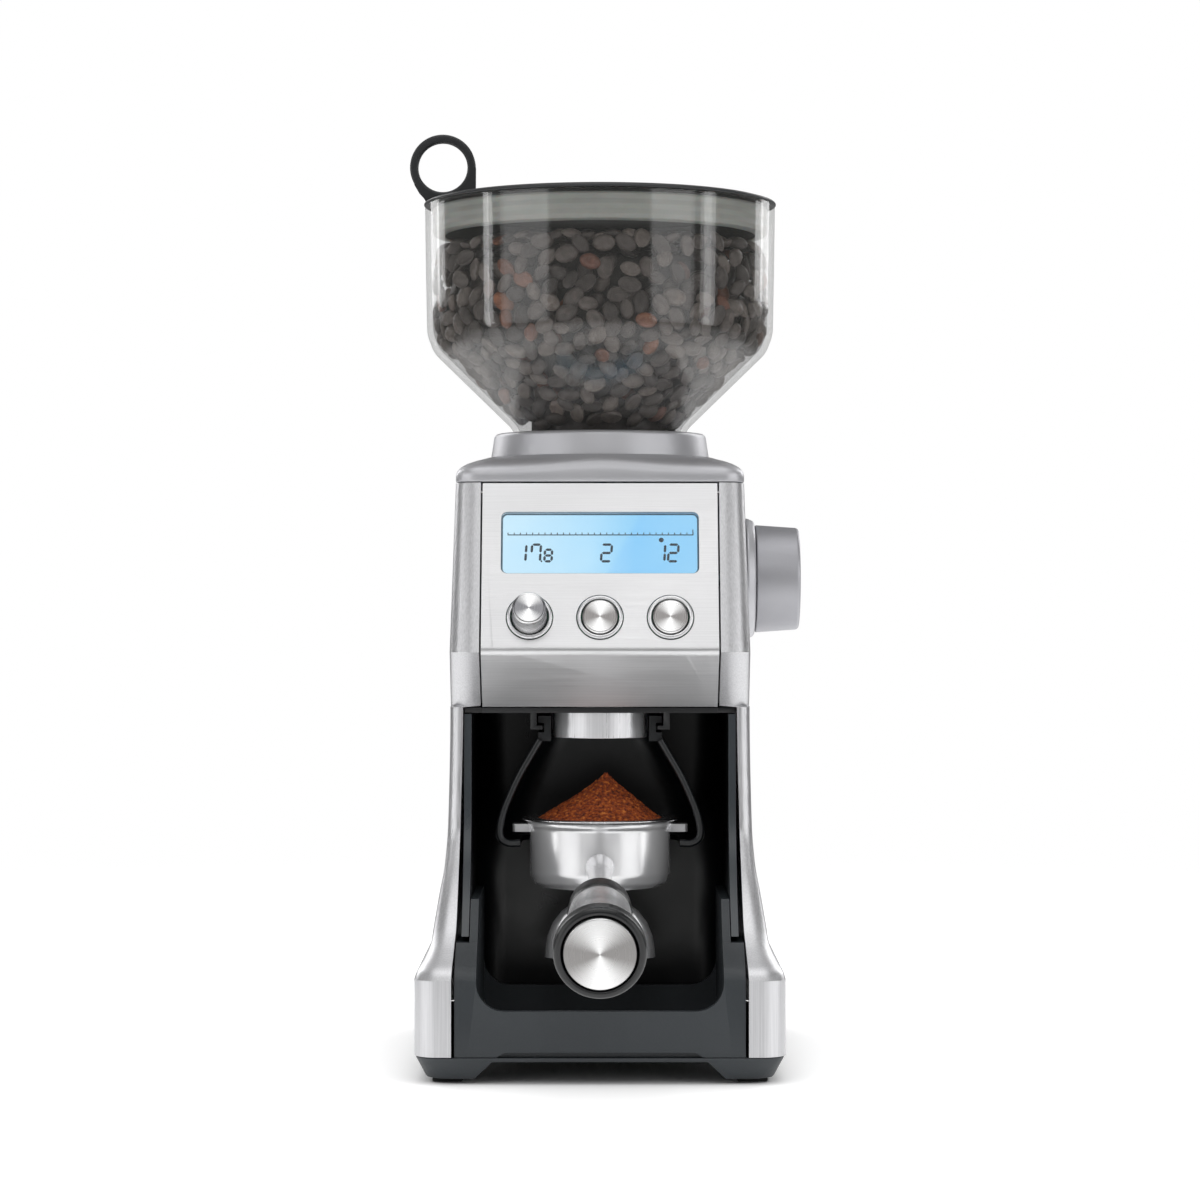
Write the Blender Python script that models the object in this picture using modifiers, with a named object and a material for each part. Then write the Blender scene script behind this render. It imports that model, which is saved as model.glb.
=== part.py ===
"""Conical burr coffee grinder with its docked portafilter, as separate working pieces.

Blender works in metres, +Z up. Sizes here are written in millimetres and scaled by MM.
Every piece hangs from burr_axis, an empty on the vertical axis that the burrs, the collar
and the hopper share, so that x = y = 0 is that axis. The front of the machine faces -Y.
"""
import bpy
import bmesh
import math
from mathutils import Matrix, Vector

MM = 0.001

# ---- driving dimensions, in millimetres -------------------------------------------------
AXIS_Y = 45.6            # the burr axis lies this far behind the middle of the bounding box
GAP = 0.3                # clearance between pieces that touch on the real machine
SHEET = 1.5              # thickness of the steel side, rear and front panels

HEAD_TOP = 239.0         # top edge of the steel panels
HEAD_BEND = 170.0        # where the sloping front panel folds back under the head
HEAD_FLOOR = 147.5       # underside of the head
FOOT_TOP = 41.0          # top of the steel feet
SHELL_BOTTOM = 11.0      # lower edge of the steel shells
SEAM_X = 37.0            # seam between each side shell and the rear shell

PANEL_TOP_Y = -52.0      # front panel at HEAD_TOP
PANEL_BEND_Y = -76.0     # front panel at HEAD_BEND
PANEL_HALF = 48.2        # half width of the front panel
CONTROL_Z = 184.0        # height of the row of controls
CONTROL_PITCH = 28.4     # distance between the controls

HOPPER_R = 74.0          # hopper at its rim
HOPPER_TOP = 357.0
HOPPER_BEND = 298.0      # where the hopper's wall turns into its cone
HOPPER_WALL = 2.5
NECK_R = 36.0
NECK_TOP = 262.0
NECK_BOTTOM = 236.0

SPOUT_Y = -33.0          # axis of the outlet tube and of the docked portafilter
HANDLE_DROP = 8.5        # the portafilter's handle slopes down by this many degrees

DIAL_Z = 200.0           # height of the grind size dial's axis
GEAR_MODULE = 1.0
FINAL_TEETH = 36
IDLER_SMALL_TEETH = 20
IDLER_LARGE_TEETH = 30
MOTOR_TEETH = 10
DIAL_TEETH = 12
CROWN_TEETH = 72         # pitch of the adjusting ring's teeth, of which it has the sector below
CROWN_SECTOR = (-4, 12)
IDLER_Y = GEAR_MODULE * (FINAL_TEETH + IDLER_SMALL_TEETH) / 2
MOTOR_Y = IDLER_Y + GEAR_MODULE * (IDLER_LARGE_TEETH + MOTOR_TEETH) / 2

# The body's outline at each height, from the top down:
# height, half width, front, back, inner edge of the front return, front corner radius.
BODY_STATIONS = [
    (HEAD_TOP, 59.2, PANEL_TOP_Y, 86.0, 48.6, 9.0),
    (HEAD_BEND, 60.8, PANEL_BEND_Y, 88.0, 48.6, 10.0),
    (HEAD_FLOOR + 0.4, 61.2, -54.4, 89.0, 48.6, 9.5),
    (HEAD_FLOOR - 0.2, 61.2, -54.0, 89.0, 55.9, 4.6),
    (100.0, 62.0, -56.0, 91.0, 56.8, 4.6),
    (84.0, 63.0, -63.5, 93.0, 57.1, 5.2),
    (72.0, 65.0, -71.0, 95.5, 57.3, 6.2),
    (60.0, 66.8, -81.0, 99.0, 57.5, 7.2),
    (54.0, 67.6, -88.0, 101.0, 57.9, 7.8),
    (49.0, 69.6, -95.0, 103.0, 58.2, 8.6),
    (44.0, 72.6, -102.0, 105.0, 58.5, 9.5),
    (FOOT_TOP, 73.6, -104.0, 106.0, 58.6, 10.0),
    (SHELL_BOTTOM, 73.6, -104.0, 106.0, 58.6, 10.0),
]

# ---- scene, collections and empties -----------------------------------------------------
for leftover in list(bpy.data.objects):
    bpy.data.objects.remove(leftover, do_unlink=True)

PARTS = bpy.data.collections.new("burr_coffee_grinder")
CUTTERS = bpy.data.collections.new("cutters")
bpy.context.scene.collection.children.link(PARTS)
bpy.context.scene.collection.children.link(CUTTERS)


def frame_empty(name, at, tilt_deg=0.0, parent=None):
    """An empty that pieces are placed in, tilted about the X axis."""
    empty = bpy.data.objects.new(name, None)
    PARTS.objects.link(empty)
    empty.parent = parent
    empty.location = Vector(at) * MM
    empty.rotation_euler = (math.radians(tilt_deg), 0, 0)
    return empty


# Local Z of panel_frame points out of the sloping panel, local Y points up along it.
PANEL_SLOPE = math.degrees(math.atan2(HEAD_TOP - HEAD_BEND, PANEL_TOP_Y - PANEL_BEND_Y))
CONTROL_Y = PANEL_TOP_Y + (PANEL_BEND_Y - PANEL_TOP_Y) * (HEAD_TOP - CONTROL_Z) / (HEAD_TOP - HEAD_BEND)
burr_axis = frame_empty("burr_axis", (0, AXIS_Y, 0))
panel_frame = frame_empty("panel_frame", (0, CONTROL_Y, CONTROL_Z), PANEL_SLOPE, burr_axis)
# Local Z of handle_frame points out along the portafilter's handle.
handle_frame = frame_empty("handle_frame", (0, -64, 82), 90 + HANDLE_DROP, burr_axis)


def finish(name, colour, roughness, metallic=0.0, alpha=1.0):
    """A plain Principled material."""
    made = bpy.data.materials.new(name)
    made.use_nodes = True
    shader = made.node_tree.nodes["Principled BSDF"]
    shader.inputs["Base Color"].default_value = (*colour, 1.0)
    shader.inputs["Roughness"].default_value = roughness
    shader.inputs["Metallic"].default_value = metallic
    shader.inputs["Alpha"].default_value = alpha
    return made


BRUSHED = finish("brushed_stainless", (0.62, 0.62, 0.62), 0.32, 1.0)
SATIN = finish("satin_silver_paint", (0.42, 0.42, 0.44), 0.45, 0.8)
CHROME = finish("chrome", (0.85, 0.85, 0.86), 0.08, 1.0)
BLACK = finish("black_plastic", (0.035, 0.037, 0.04), 0.45)
CHARCOAL = finish("charcoal_plastic", (0.05, 0.058, 0.064), 0.42)
CLEAR = finish("smoked_clear", (0.55, 0.55, 0.53), 0.05, 0.0, 0.3)
SEAL = finish("clear_silicone", (0.7, 0.72, 0.66), 0.5)
LENS = finish("display_glass", (0.4, 0.72, 0.95), 0.1)
STEEL = finish("hardened_steel", (0.45, 0.45, 0.46), 0.3, 1.0)
GEAR = finish("nylon_gear", (0.72, 0.7, 0.62), 0.5)
BOARD = finish("circuit_board", (0.02, 0.16, 0.07), 0.5)
RUBBER = finish("foot_rubber", (0.02, 0.02, 0.02), 0.8)


# ---- modelling helpers -------------------------------------------------------------------
def place(name, mesh, mat, at=(0, 0, 0), turn=(0, 0, 0), parent=None, cutter=False):
    """Link a mesh as an object, placed in millimetres and degrees."""
    made = bpy.data.objects.new(name, mesh)
    made.parent = parent or burr_axis
    made.location = Vector(at) * MM
    made.rotation_euler = [math.radians(angle) for angle in turn]
    if cutter:
        CUTTERS.objects.link(made)
        made.hide_render = True
        made.display_type = "WIRE"
        return made
    PARTS.objects.link(made)
    made.data.materials.append(mat)
    made.data.shade_smooth()
    made.data.set_sharp_from_angle(angle=math.radians(35))
    return made


def mesh_from(name, work):
    """Turn a bmesh with its doubles merged into a mesh."""
    bmesh.ops.remove_doubles(work, verts=work.verts, dist=1e-6)
    made = bpy.data.meshes.new(name)
    work.to_mesh(made)
    work.free()
    return made


def turned(name, mat, profile, steps=32, closed=False, **where):
    """Revolve (radius, height) points about local Z. The outer side runs from top to bottom."""
    work = bmesh.new()
    verts = [work.verts.new((radius * MM, 0, height * MM)) for radius, height in profile]
    for first, second in zip(verts, verts[1:]):
        work.edges.new((first, second))
    if closed:
        work.edges.new((verts[-1], verts[0]))
    made = place(name, mesh_from(name, work), mat, **where)
    screw = made.modifiers.new("turn", "SCREW")
    screw.steps = steps
    screw.render_steps = steps
    screw.use_merge_vertices = True
    screw.merge_threshold = 1e-5
    return made


def plate(name, mat, outline, low, high, plane="XY", holes=(), **where):
    """Extrude a flat outline from low to high along the third axis of its plane."""
    curve = bpy.data.curves.new(name, "CURVE")
    curve.dimensions = "2D"
    curve.fill_mode = "BOTH"
    curve.extrude = (high - low) / 2 * MM
    for points in (outline, *holes):
        spline = curve.splines.new("POLY")
        spline.points.add(len(points) - 1)
        for knot, (u, v) in zip(spline.points, points):
            knot.co = (u * MM, v * MM, 0, 1)
        spline.use_cyclic_u = True
    guide = bpy.data.objects.new(name + "_outline", curve)
    bpy.context.scene.collection.objects.link(guide)
    ready = guide.evaluated_get(bpy.context.evaluated_depsgraph_get())
    made = bpy.data.meshes.new_from_object(ready)
    bpy.data.objects.remove(guide, do_unlink=True)
    across = {"XY": Matrix.Identity(4),
              "XZ": Matrix.Rotation(math.radians(90), 4, "X"),
              "YZ": Matrix.Rotation(math.radians(90), 4, "Z") @ Matrix.Rotation(math.radians(90), 4, "X")}
    middle = (low + high) / 2 * MM
    if plane == "XZ":
        middle = -middle
    made.transform(across[plane] @ Matrix.Translation((0, 0, middle)))
    work = bmesh.new()
    work.from_mesh(made)
    bmesh.ops.remove_doubles(work, verts=work.verts, dist=1e-6)
    bmesh.ops.recalc_face_normals(work, faces=work.faces)
    return place(name, mesh_from(name, work), mat, **where)


def block(name, mat, low, high, bevel=0.0, **where):
    """A box between two corners, with its edges rounded where bevel is given."""
    work = bmesh.new()
    bmesh.ops.create_cube(work, size=1.0)
    size = Vector(high) - Vector(low)
    middle = (Vector(high) + Vector(low)) / 2
    bmesh.ops.scale(work, vec=size * MM, verts=work.verts)
    bmesh.ops.translate(work, vec=middle * MM, verts=work.verts)
    made = place(name, mesh_from(name, work), mat, **where)
    if bevel:
        rounding = made.modifiers.new("rounding", "BEVEL")
        rounding.width = bevel * MM
        rounding.segments = 2
    return made


def drum(name, mat, radius, low, high, steps=32, **where):
    """A plain cylinder about local Z."""
    return turned(name, mat, [(0, high), (radius, high), (radius, low), (0, low)], steps, **where)


def tube(name, mat, outer, inner, low, high, steps=32, **where):
    """A plain ring about local Z."""
    profile = [(inner, high), (outer, high), (outer, low), (inner, low)]
    return turned(name, mat, profile, steps, closed=True, **where)


def lofted(name, mat, sections, closed=False, wall=None, cap_top=False, solid=False, **where):
    """Skin through (points, height) sections listed from the top down, anticlockwise in plan."""
    work = bmesh.new()
    rings = []
    for points, height in sections:
        rings.append([work.verts.new((x * MM, y * MM, height * MM)) for x, y in points])
    for upper, lower in zip(rings, rings[1:]):
        count = len(upper)
        for here in range(count if closed else count - 1):
            ahead = (here + 1) % count
            work.faces.new((upper[here], lower[here], lower[ahead], upper[ahead]))
    if cap_top or solid:
        work.faces.new(rings[0])
    if solid:
        work.faces.new(list(reversed(rings[-1])))
    made = place(name, mesh_from(name, work), mat, **where)
    if wall:
        thicken = made.modifiers.new("wall", "SOLIDIFY")
        thicken.thickness = wall * MM
        thicken.offset = -1
        thicken.use_even_offset = True
    return made


def combine(target, other, operation):
    """Join or cut a piece with another mesh, which becomes a hidden cutter."""
    if other.name in PARTS.objects:
        PARTS.objects.unlink(other)
        CUTTERS.objects.link(other)
        other.hide_render = True
        other.display_type = "WIRE"
    step = target.modifiers.new(operation.lower(), "BOOLEAN")
    step.operation = operation
    step.object = other
    step.solver = "EXACT"
    return target


def arc(centre, radius, start_deg, end_deg, count):
    """Points along an arc, both ends included."""
    points = []
    for step in range(count):
        angle = math.radians(start_deg + (end_deg - start_deg) * step / (count - 1))
        points.append((centre[0] + radius * math.cos(angle), centre[1] + radius * math.sin(angle)))
    return points


def circle(radius, count=24, centre=(0, 0)):
    """Points of a closed circle."""
    return arc(centre, radius, 0, 360 - 360 / count, count)


def mirrored(points):
    """The same points on the other side of the middle plane, in reverse order."""
    return [(-x, y) for x, y in reversed(points)]


def station(height):
    """The body's half width, front, back, inner edge and corner radius at a height."""
    for upper, lower in zip(BODY_STATIONS, BODY_STATIONS[1:]):
        if upper[0] >= height >= lower[0]:
            share = (upper[0] - height) / (upper[0] - lower[0])
            return [a + (b - a) * share for a, b in zip(upper[1:], lower[1:])]
    return list(BODY_STATIONS[0 if height > HEAD_TOP else -1][1:])


def side_outline(height, inset=0.0, inner=None):
    """Plan of the right side shell: front return, front corner, side and rounded back."""
    half, front, back, edge, corner = station(height)
    half, front, back = half - inset, front + inset, back - inset
    rear = half - SEAM_X
    start = [(edge if inner is None else inner, front)]
    front_corner = arc((half - corner, front + corner), corner, -90, 0, 5)
    back_corner = arc((half - rear, back - rear), rear, 0, 90, 7)
    return start + front_corner + back_corner


def full_outline(height, inset=0.0):
    """Closed plan of the body, anticlockwise."""
    right = side_outline(height, inset, inner=0.0)[1:]
    return right + mirrored(right)


def gear_outline(teeth, module=GEAR_MODULE):
    """Outline of a spur gear with a tooth centred on the +X axis and running clearance."""
    pitch = teeth * module / 2
    root, tip = pitch - 1.2 * module, pitch + 0.85 * module
    points = []
    for tooth in range(teeth):
        for radius, share in ((root, -0.6), (tip, -0.17), (tip, 0.17), (root, 0.6)):
            angle = 2 * math.pi / teeth * (tooth + share / 2)
            points.append((radius * math.cos(angle), radius * math.sin(angle)))
    return points


# ---- base ----------------------------------------------------------------------------------
def base():
    """Moulded base with an arch between its feet, and four rubber pads under it."""
    floor_z = 2.0
    deck_bottom = 9.0
    deck = lofted("base_plate", CHARCOAL,
                  [(full_outline(SHELL_BOTTOM, 0.4), SHELL_BOTTOM - GAP),
                   (full_outline(SHELL_BOTTOM, 4.6), floor_z)], closed=True, solid=True)
    arch = plate("base_arch", None, [(-51.6, 0), (51.6, 0), (42.5, deck_bottom), (-42.5, deck_bottom)],
                 -130, 130, "XZ", cutter=True)
    combine(deck, arch, "DIFFERENCE")
    tunnel = block("base_tunnel", None, (-90, -66, -1), (90, 66, deck_bottom - 2), cutter=True)
    combine(deck, tunnel, "DIFFERENCE")
    pads = {"front_left": (-60.5, -82), "front_right": (60.5, -82),
            "rear_left": (-56.5, 78), "rear_right": (56.5, 78)}
    for corner, (x, y) in pads.items():
        block("foot_pad_" + corner, RUBBER, (x - 6, y - 11, 0), (x + 6, y + 11, floor_z - GAP))


# ---- casing --------------------------------------------------------------------------------
def casing():
    """Steel side shells, rear shell with its vents, and the dark liner of the grinding bay."""
    heights = [row[0] for row in BODY_STATIONS]
    right = lofted("right_side_shell", BRUSHED, [(side_outline(z), z) for z in heights], wall=SHEET)
    shaft_hole = drum("dial_shaft_hole", None, 4.0, 50, 70, 20, at=(0, 0, DIAL_Z), turn=(0, 90, 0),
                      cutter=True)
    combine(right, shaft_hole, "DIFFERENCE")
    lofted("left_side_shell", BRUSHED, [(mirrored(side_outline(z)), z) for z in heights], wall=SHEET)

    crown = 2.5
    half = SEAM_X - 2 * GAP
    sections = []
    for z in (HEAD_TOP, HEAD_BEND, 100.0, 72.0, 54.0, FOOT_TOP, SHELL_BOTTOM):
        back = station(z)[2]
        steps = 6
        across = [half - 2 * half * step / steps for step in range(steps + 1)]
        sections.append(([(x, back + crown * (1 - (x / half) ** 2)) for x in across], z))
    rear = lofted("rear_shell", SATIN, sections, wall=SHEET)
    slots = bmesh.new()
    for row in range(8):
        cut = bmesh.ops.create_cube(slots, size=1.0)["verts"]
        bmesh.ops.scale(slots, vec=Vector((46, 16, 2.6)) * MM, verts=cut)
        bmesh.ops.translate(slots, vec=Vector((0, 90, 132 + 7.5 * row)) * MM, verts=cut)
    combine(rear, place("rear_vents", mesh_from("rear_vents", slots), None, cutter=True), "DIFFERENCE")
    gland_hole = drum("cord_gland_hole", None, 6.4, 95, 115, 20, at=(0, 0, 28), turn=(-90, 0, 0),
                      cutter=True)
    combine(rear, gland_hole, "DIFFERENCE")
    turned("cord_gland", BLACK,
           [(3.6, 111.4), (6.6, 111.4), (9.0, 109.8), (9.0, 108.9), (6.0, 108.9), (6.0, 101), (3.6, 101)],
           16, closed=True, at=(0, 0, 28), turn=(-90, 0, 0))


def bay():
    """Liner of the grinding bay, open to the front, and the floor of the head above it."""
    half = 55.4
    back = 11.0
    corner = 16.0
    fronts = [(144.5, -53.0), (100.0, -55.0), (72.0, -69.6), (56.6, -83.4), (55.6, -60.0),
              (SHELL_BOTTOM + GAP, -60.0)]
    sections = []
    for z, front in fronts:
        right = [(half, front)] + arc((half - corner, back - corner), corner, 0, 90, 6)
        sections.append((right + mirrored(right), z))
    liner = lofted("chassis_liner", BLACK, sections, wall=3.0)
    plunger_hole = drum("plunger_hole", None, 4.5, -20, 0, 20, at=(0, 0, 82), turn=(90, 0, 0), cutter=True)
    combine(liner, plunger_hole, "DIFFERENCE")

    outline = [(-55.3, -52.0), (-48.0, -52.0), (-48.0, -53.8), (48.0, -53.8), (48.0, -52.0), (55.3, -52.0),
               (55.3, 9.0), (-55.3, 9.0)]
    floor = plate("head_floor", BLACK, outline, 144.9, 147.2, "XY", [circle(19.7, 32, (0, SPOUT_Y))])
    for side in (-1, 1):
        inner, outer = 26.0 * side, 28.5 * side
        rail = block("cradle_rail", None, (min(inner, outer), -50, 138), (max(inner, outer), 4, 145.5),
                     cutter=True)
        combine(floor, rail, "UNION")
        lip = block("cradle_rail_lip", None, (min(23.6 * side, 27 * side), -50, 138),
                    (max(23.6 * side, 27 * side), 4, 139.6), cutter=True)
        combine(floor, lip, "UNION")


def top_of_head():
    """Satin housing that closes the head, and the collar that the hopper plugs into."""
    seat = 46.9
    hole = 38.2
    rim = full_outline(HEAD_TOP)
    spread = [math.atan2(y, x) for x, y in rim] + [math.radians(18 * step) for step in range(-10, 10)]
    angles = sorted({round(angle, 3) for angle in spread})

    def reach(angle, outline):
        """Distance from the burr axis to an outline in a direction."""
        far = Vector((math.cos(angle), math.sin(angle))) * 300
        best = 0.0
        for one, two in zip(outline, outline[1:] + outline[:1]):
            start, along = Vector(one), Vector(two) - Vector(one)
            cross = far.x * along.y - far.y * along.x
            if abs(cross) < 1e-9:
                continue
            on_ray = (start.x * along.y - start.y * along.x) / cross
            on_edge = (start.x * far.y - start.y * far.x) / cross
            if on_ray > 0 and -1e-6 <= on_edge <= 1 + 1e-6:
                best = max(best, on_ray * 300)
        return best

    def ring(inset, share, radius):
        """Blend from the head's outline (share 0) to a circle (share 1)."""
        outline = full_outline(HEAD_TOP, inset)
        points = []
        for angle in angles:
            away = reach(angle, outline) * (1 - share) + radius * share
            points.append((away * math.cos(angle), away * math.sin(angle)))
        return points

    base_z = HEAD_TOP + GAP
    sections = [(ring(0, 1, hole), base_z + 8.0), (ring(0, 1, seat), base_z + 8.0),
                (ring(0.6, 0.45, seat), base_z + 6.0), (ring(0.4, 0, 0), base_z + 3.2),
                (ring(0, 0, 0), base_z)]
    lofted("top_housing", SATIN, sections, closed=True, wall=2.0)
    turned("hopper_collar", SATIN,
           [(37.5, 261.0), (43.6, 261.0), (44.7, 260.0), (46.3, 249.5), (46.3, 247.7), (37.5, 247.7)],
           36, closed=True)


# ---- hopper --------------------------------------------------------------------------------
def hopper():
    """Clear bean hopper with its locking knob, and its lid with a seal and a finger ring."""
    wall = HOPPER_WALL
    outside = [(HOPPER_R, HOPPER_TOP), (73.1, 303.0), (70.2, HOPPER_BEND - 2.6), (37.0, NECK_TOP + 1.2),
               (NECK_R, NECK_TOP - 2), (NECK_R, NECK_BOTTOM)]
    inside = [(NECK_R - wall, NECK_BOTTOM), (NECK_R - wall, NECK_TOP - 1), (35.2, NECK_TOP + 2.9),
              (68.0, HOPPER_BEND - 0.8), (70.6, 304.0), (HOPPER_R - wall, HOPPER_TOP)]
    bowl = turned("hopper", CLEAR, outside + inside, 36, closed=True)
    bar = block("hopper_bar", None, (-34.6, -4, 239), (34.6, 4, 242), cutter=True)
    combine(bowl, bar, "UNION")
    combine(bowl, drum("lock_pin_hole", None, 3.2, 230, 250, 16, cutter=True), "DIFFERENCE")

    knob = turned("hopper_lock_knob", BLACK,
                  [(0, 250), (7, 250), (7, 242.4), (2.8, 242.4), (2.8, 236.5), (0, 236.5)], 20)
    combine(knob, block("lock_wings", None, (-15, -2, 244), (15, 2, 256), cutter=True), "UNION")

    lid_top = 361.0
    lid = turned("hopper_lid", BLACK,
                 [(0, lid_top), (50, lid_top - 0.5), (70, lid_top - 1.4), (74.4, lid_top - 2.4),
                  (74.4, HOPPER_TOP + GAP), (68.2, HOPPER_TOP + GAP), (68.2, 345.5), (66, 345.5),
                  (66, 355.5), (0, 356.5)], 36)
    ring_x, ring_z, ring_r, hole_r = -66.5, 374.0, 14.0, 10.4
    outline = arc((ring_x, ring_z), ring_r, -12, 205, 15) + [(-74.0, 359.5), (-74.0, 357.8), (-52.8, 357.8)]
    finger_ring = plate("lid_finger_ring", None, outline, -2.5, 2.5, "XZ",
                        [circle(hole_r, 20, (ring_x, ring_z))], cutter=True)
    combine(lid, finger_ring, "UNION")
    tube("lid_seal", SEAL, 70.9, 68.5, 347.0, 355.0, 36)


# ---- front panel and controls --------------------------------------------------------------
def front_panel():
    """Folded brushed panel with the display window and the holes of the three controls."""
    fold = 2.5
    outer = [(PANEL_TOP_Y, HEAD_TOP - GAP), (PANEL_BEND_Y + 0.35 * fold, HEAD_BEND + fold),
             (PANEL_BEND_Y + 0.3, HEAD_BEND), (PANEL_BEND_Y + 0.8 * fold, HEAD_BEND - 0.75 * fold),
             (-54.6, HEAD_FLOOR)]
    inner = [(y + SHEET * 0.95, z + (SHEET * 0.9 if z < HEAD_BEND - 1 else 0.2)) for y, z in reversed(outer)]
    inner[-1] = (PANEL_TOP_Y + SHEET, HEAD_TOP - GAP)
    panel = plate("front_panel", BRUSHED, outer + inner, -PANEL_HALF, PANEL_HALF, "YZ")
    window = block("display_window", None, (-40.2, 18.8, -6), (40.2, 45.4, 4), parent=panel_frame,
                   cutter=True)
    combine(panel, window, "DIFFERENCE")
    for place_number in (-1, 0, 1):
        hole = drum("control_hole", None, 8.6, -8, 5, 24, at=(place_number * CONTROL_PITCH, 0, 0),
                    parent=panel_frame, cutter=True)
        combine(panel, hole, "DIFFERENCE")

    block("display_lens", LENS, (-39.9, 19.1, -1.6), (39.9, 45.1, -0.3), parent=panel_frame)
    block("lcd_module", BOARD, (-43, 16.5, -8.0), (43, 47.5, -2.0), parent=panel_frame)
    block("control_board", BOARD, (-44, -11.5, -13.8), (44, 50, -12.2), parent=panel_frame)


def controls():
    """Two push buttons and the turn-and-push amount knob, each in a bright bezel ring."""
    names = {-1: "amount_bezel", 0: "cups_bezel", 1: "start_bezel"}
    for place_number, name in names.items():
        turned(name, CHROME, [(7.7, 1.0), (9.2, 0.8), (9.2, GAP), (8.2, GAP), (8.2, -4), (7.7, -4)],
               20, closed=True, at=(place_number * CONTROL_PITCH, 0, 0), parent=panel_frame)
    for place_number, name in {0: "cups_button", 1: "start_button"}.items():
        turned(name, STEEL, [(0, 1.5), (6.6, 1.5), (7.2, 1.0), (7.2, -3.6), (2.4, -3.6), (2.4, -10.6), (0, -10.6)],
               18, at=(place_number * CONTROL_PITCH, 0, 0), parent=panel_frame)
    turned("amount_knob", STEEL,
           [(0, 12.2), (6.2, 12.2), (6.8, 11.5), (6.7, 5.0), (7.3, 1.2), (7.3, -2.6),
            (3.3, -2.6), (3.3, 8.0), (0, 8.0)], 18, at=(-CONTROL_PITCH, 0, 0), parent=panel_frame)
    turned("encoder_plunger", GEAR, [(0, 7.6), (3.0, 7.6), (3.0, -4.2), (5.0, -4.2), (5.0, -6.2), (3.0, -6.2),
                                     (3.0, -10.6), (0, -10.6)],
           14, at=(-CONTROL_PITCH, 0, 0), parent=panel_frame)


def grind_dial():
    """Grind size dial on the right side, and the shaft and pinion that turn the adjusting ring."""
    turned("dial_knob", SATIN,
           [(0, 83.2), (18.5, 83.2), (20.6, 84.0), (21.5, 83.0), (22.7, 65.6), (20.4, 65.6), (20.0, 80.0),
            (6.5, 80.0), (6.5, 66.4), (3.4, 66.4), (3.4, 76.0), (0, 76.0)],
           30, at=(0, 0, DIAL_Z), turn=(0, 90, 0))
    turned("dial_bezel", SATIN, [(3.6, 65.0), (24.6, 65.0), (25.5, 64.0), (25.5, 61.4), (3.6, 61.4)],
           30, closed=True, at=(0, 0, DIAL_Z), turn=(0, 90, 0))
    shaft = plate("dial_shaft", STEEL, gear_outline(DIAL_TEETH), 33.8, 38.2, "XY", at=(0, 0, DIAL_Z),
                  turn=(0, 90, 0))
    rod = drum("dial_rod", None, 3.0, 37.5, 75.6, 20, at=(0, 0, DIAL_Z), turn=(0, 90, 0), cutter=True)
    combine(shaft, rod, "UNION")


# ---- grinding chamber ----------------------------------------------------------------------
def burrs():
    """Burr chamber, adjusting ring and the two conical burrs with their holder and impeller."""
    chamber = turned("burr_chamber", STEEL,
                     [(30.3, 204.3), (33.0, 204.3), (33.0, 171.0), (9.4, 171.0), (9.4, 174.2), (30.3, 174.2)],
                     32, closed=True)
    combine(chamber, block("chamber_window", None, (-12, -40, 175.2), (12, -24, 184), cutter=True),
            "DIFFERENCE")
    tube("spindle_bearing", STEEL, 9.0, 4.4, 170.4, 174.6, 18)
    turned("burr_spindle", STEEL, [(0, 209), (3, 209), (4, 207.5), (4, 151.6), (0, 151.6)], 20)
    impeller = turned("grinds_impeller", BLACK,
                      [(4.4, 178.0), (28.6, 178.0), (28.6, 175.2), (4.4, 175.2)], 24, closed=True)
    for turn_deg in (0, 45, 90, 135):
        low_high = ((-28, -1, 177), (28, 1, 181))
        vane = block("impeller_vane", None, *low_high, turn=(0, 0, turn_deg), cutter=True)
        combine(impeller, vane, "UNION")
    combine(impeller, drum("impeller_bore", None, 4.4, 170, 190, 24, cutter=True), "DIFFERENCE")
    turned("lower_burr", STEEL, [(4.4, 206), (8.0, 206), (9.4, 203), (19.0, 186), (19.0, 181.6), (4.4, 181.6)],
           24, closed=True)
    turned("upper_burr", STEEL, [(16.5, 208), (24.0, 208), (24.0, 185.5), (21.4, 185.5), (11.6, 203)],
           24, closed=True)
    turned("upper_burr_holder", BLACK,
           [(22.0, 232), (29.0, 232), (29.0, 188), (24.4, 188), (24.4, 208.5), (22.0, 209.5)],
           28, closed=True)

    ring = turned("adjust_ring", STEEL, [(29.5, 216), (38.0, 216), (38.0, 207.3), (33.6, 207.3), (33.6, 205),
                                         (29.5, 205)], 36, closed=True)
    crown_pitch = 2 * math.pi / CROWN_TEETH
    teeth = bmesh.new()
    for number in range(*CROWN_SECTOR):
        angle = crown_pitch * (number + 0.5)
        tooth = bmesh.ops.create_cube(teeth, size=1.0)["verts"]
        for corner in tooth:
            narrow = 0.36 if corner.co.z < 0 else 1.3
            corner.co = Vector((35.7 + corner.co.x * 4.2, corner.co.y * narrow, 206.55 + corner.co.z * 1.9))
        bmesh.ops.scale(teeth, vec=(MM, MM, MM), verts=tooth)
        bmesh.ops.rotate(teeth, matrix=Matrix.Rotation(angle, 3, "Z"), verts=tooth)
    crown = place("crown_teeth", mesh_from("crown_teeth", teeth), None, cutter=True)
    combine(ring, crown, "UNION")


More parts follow.
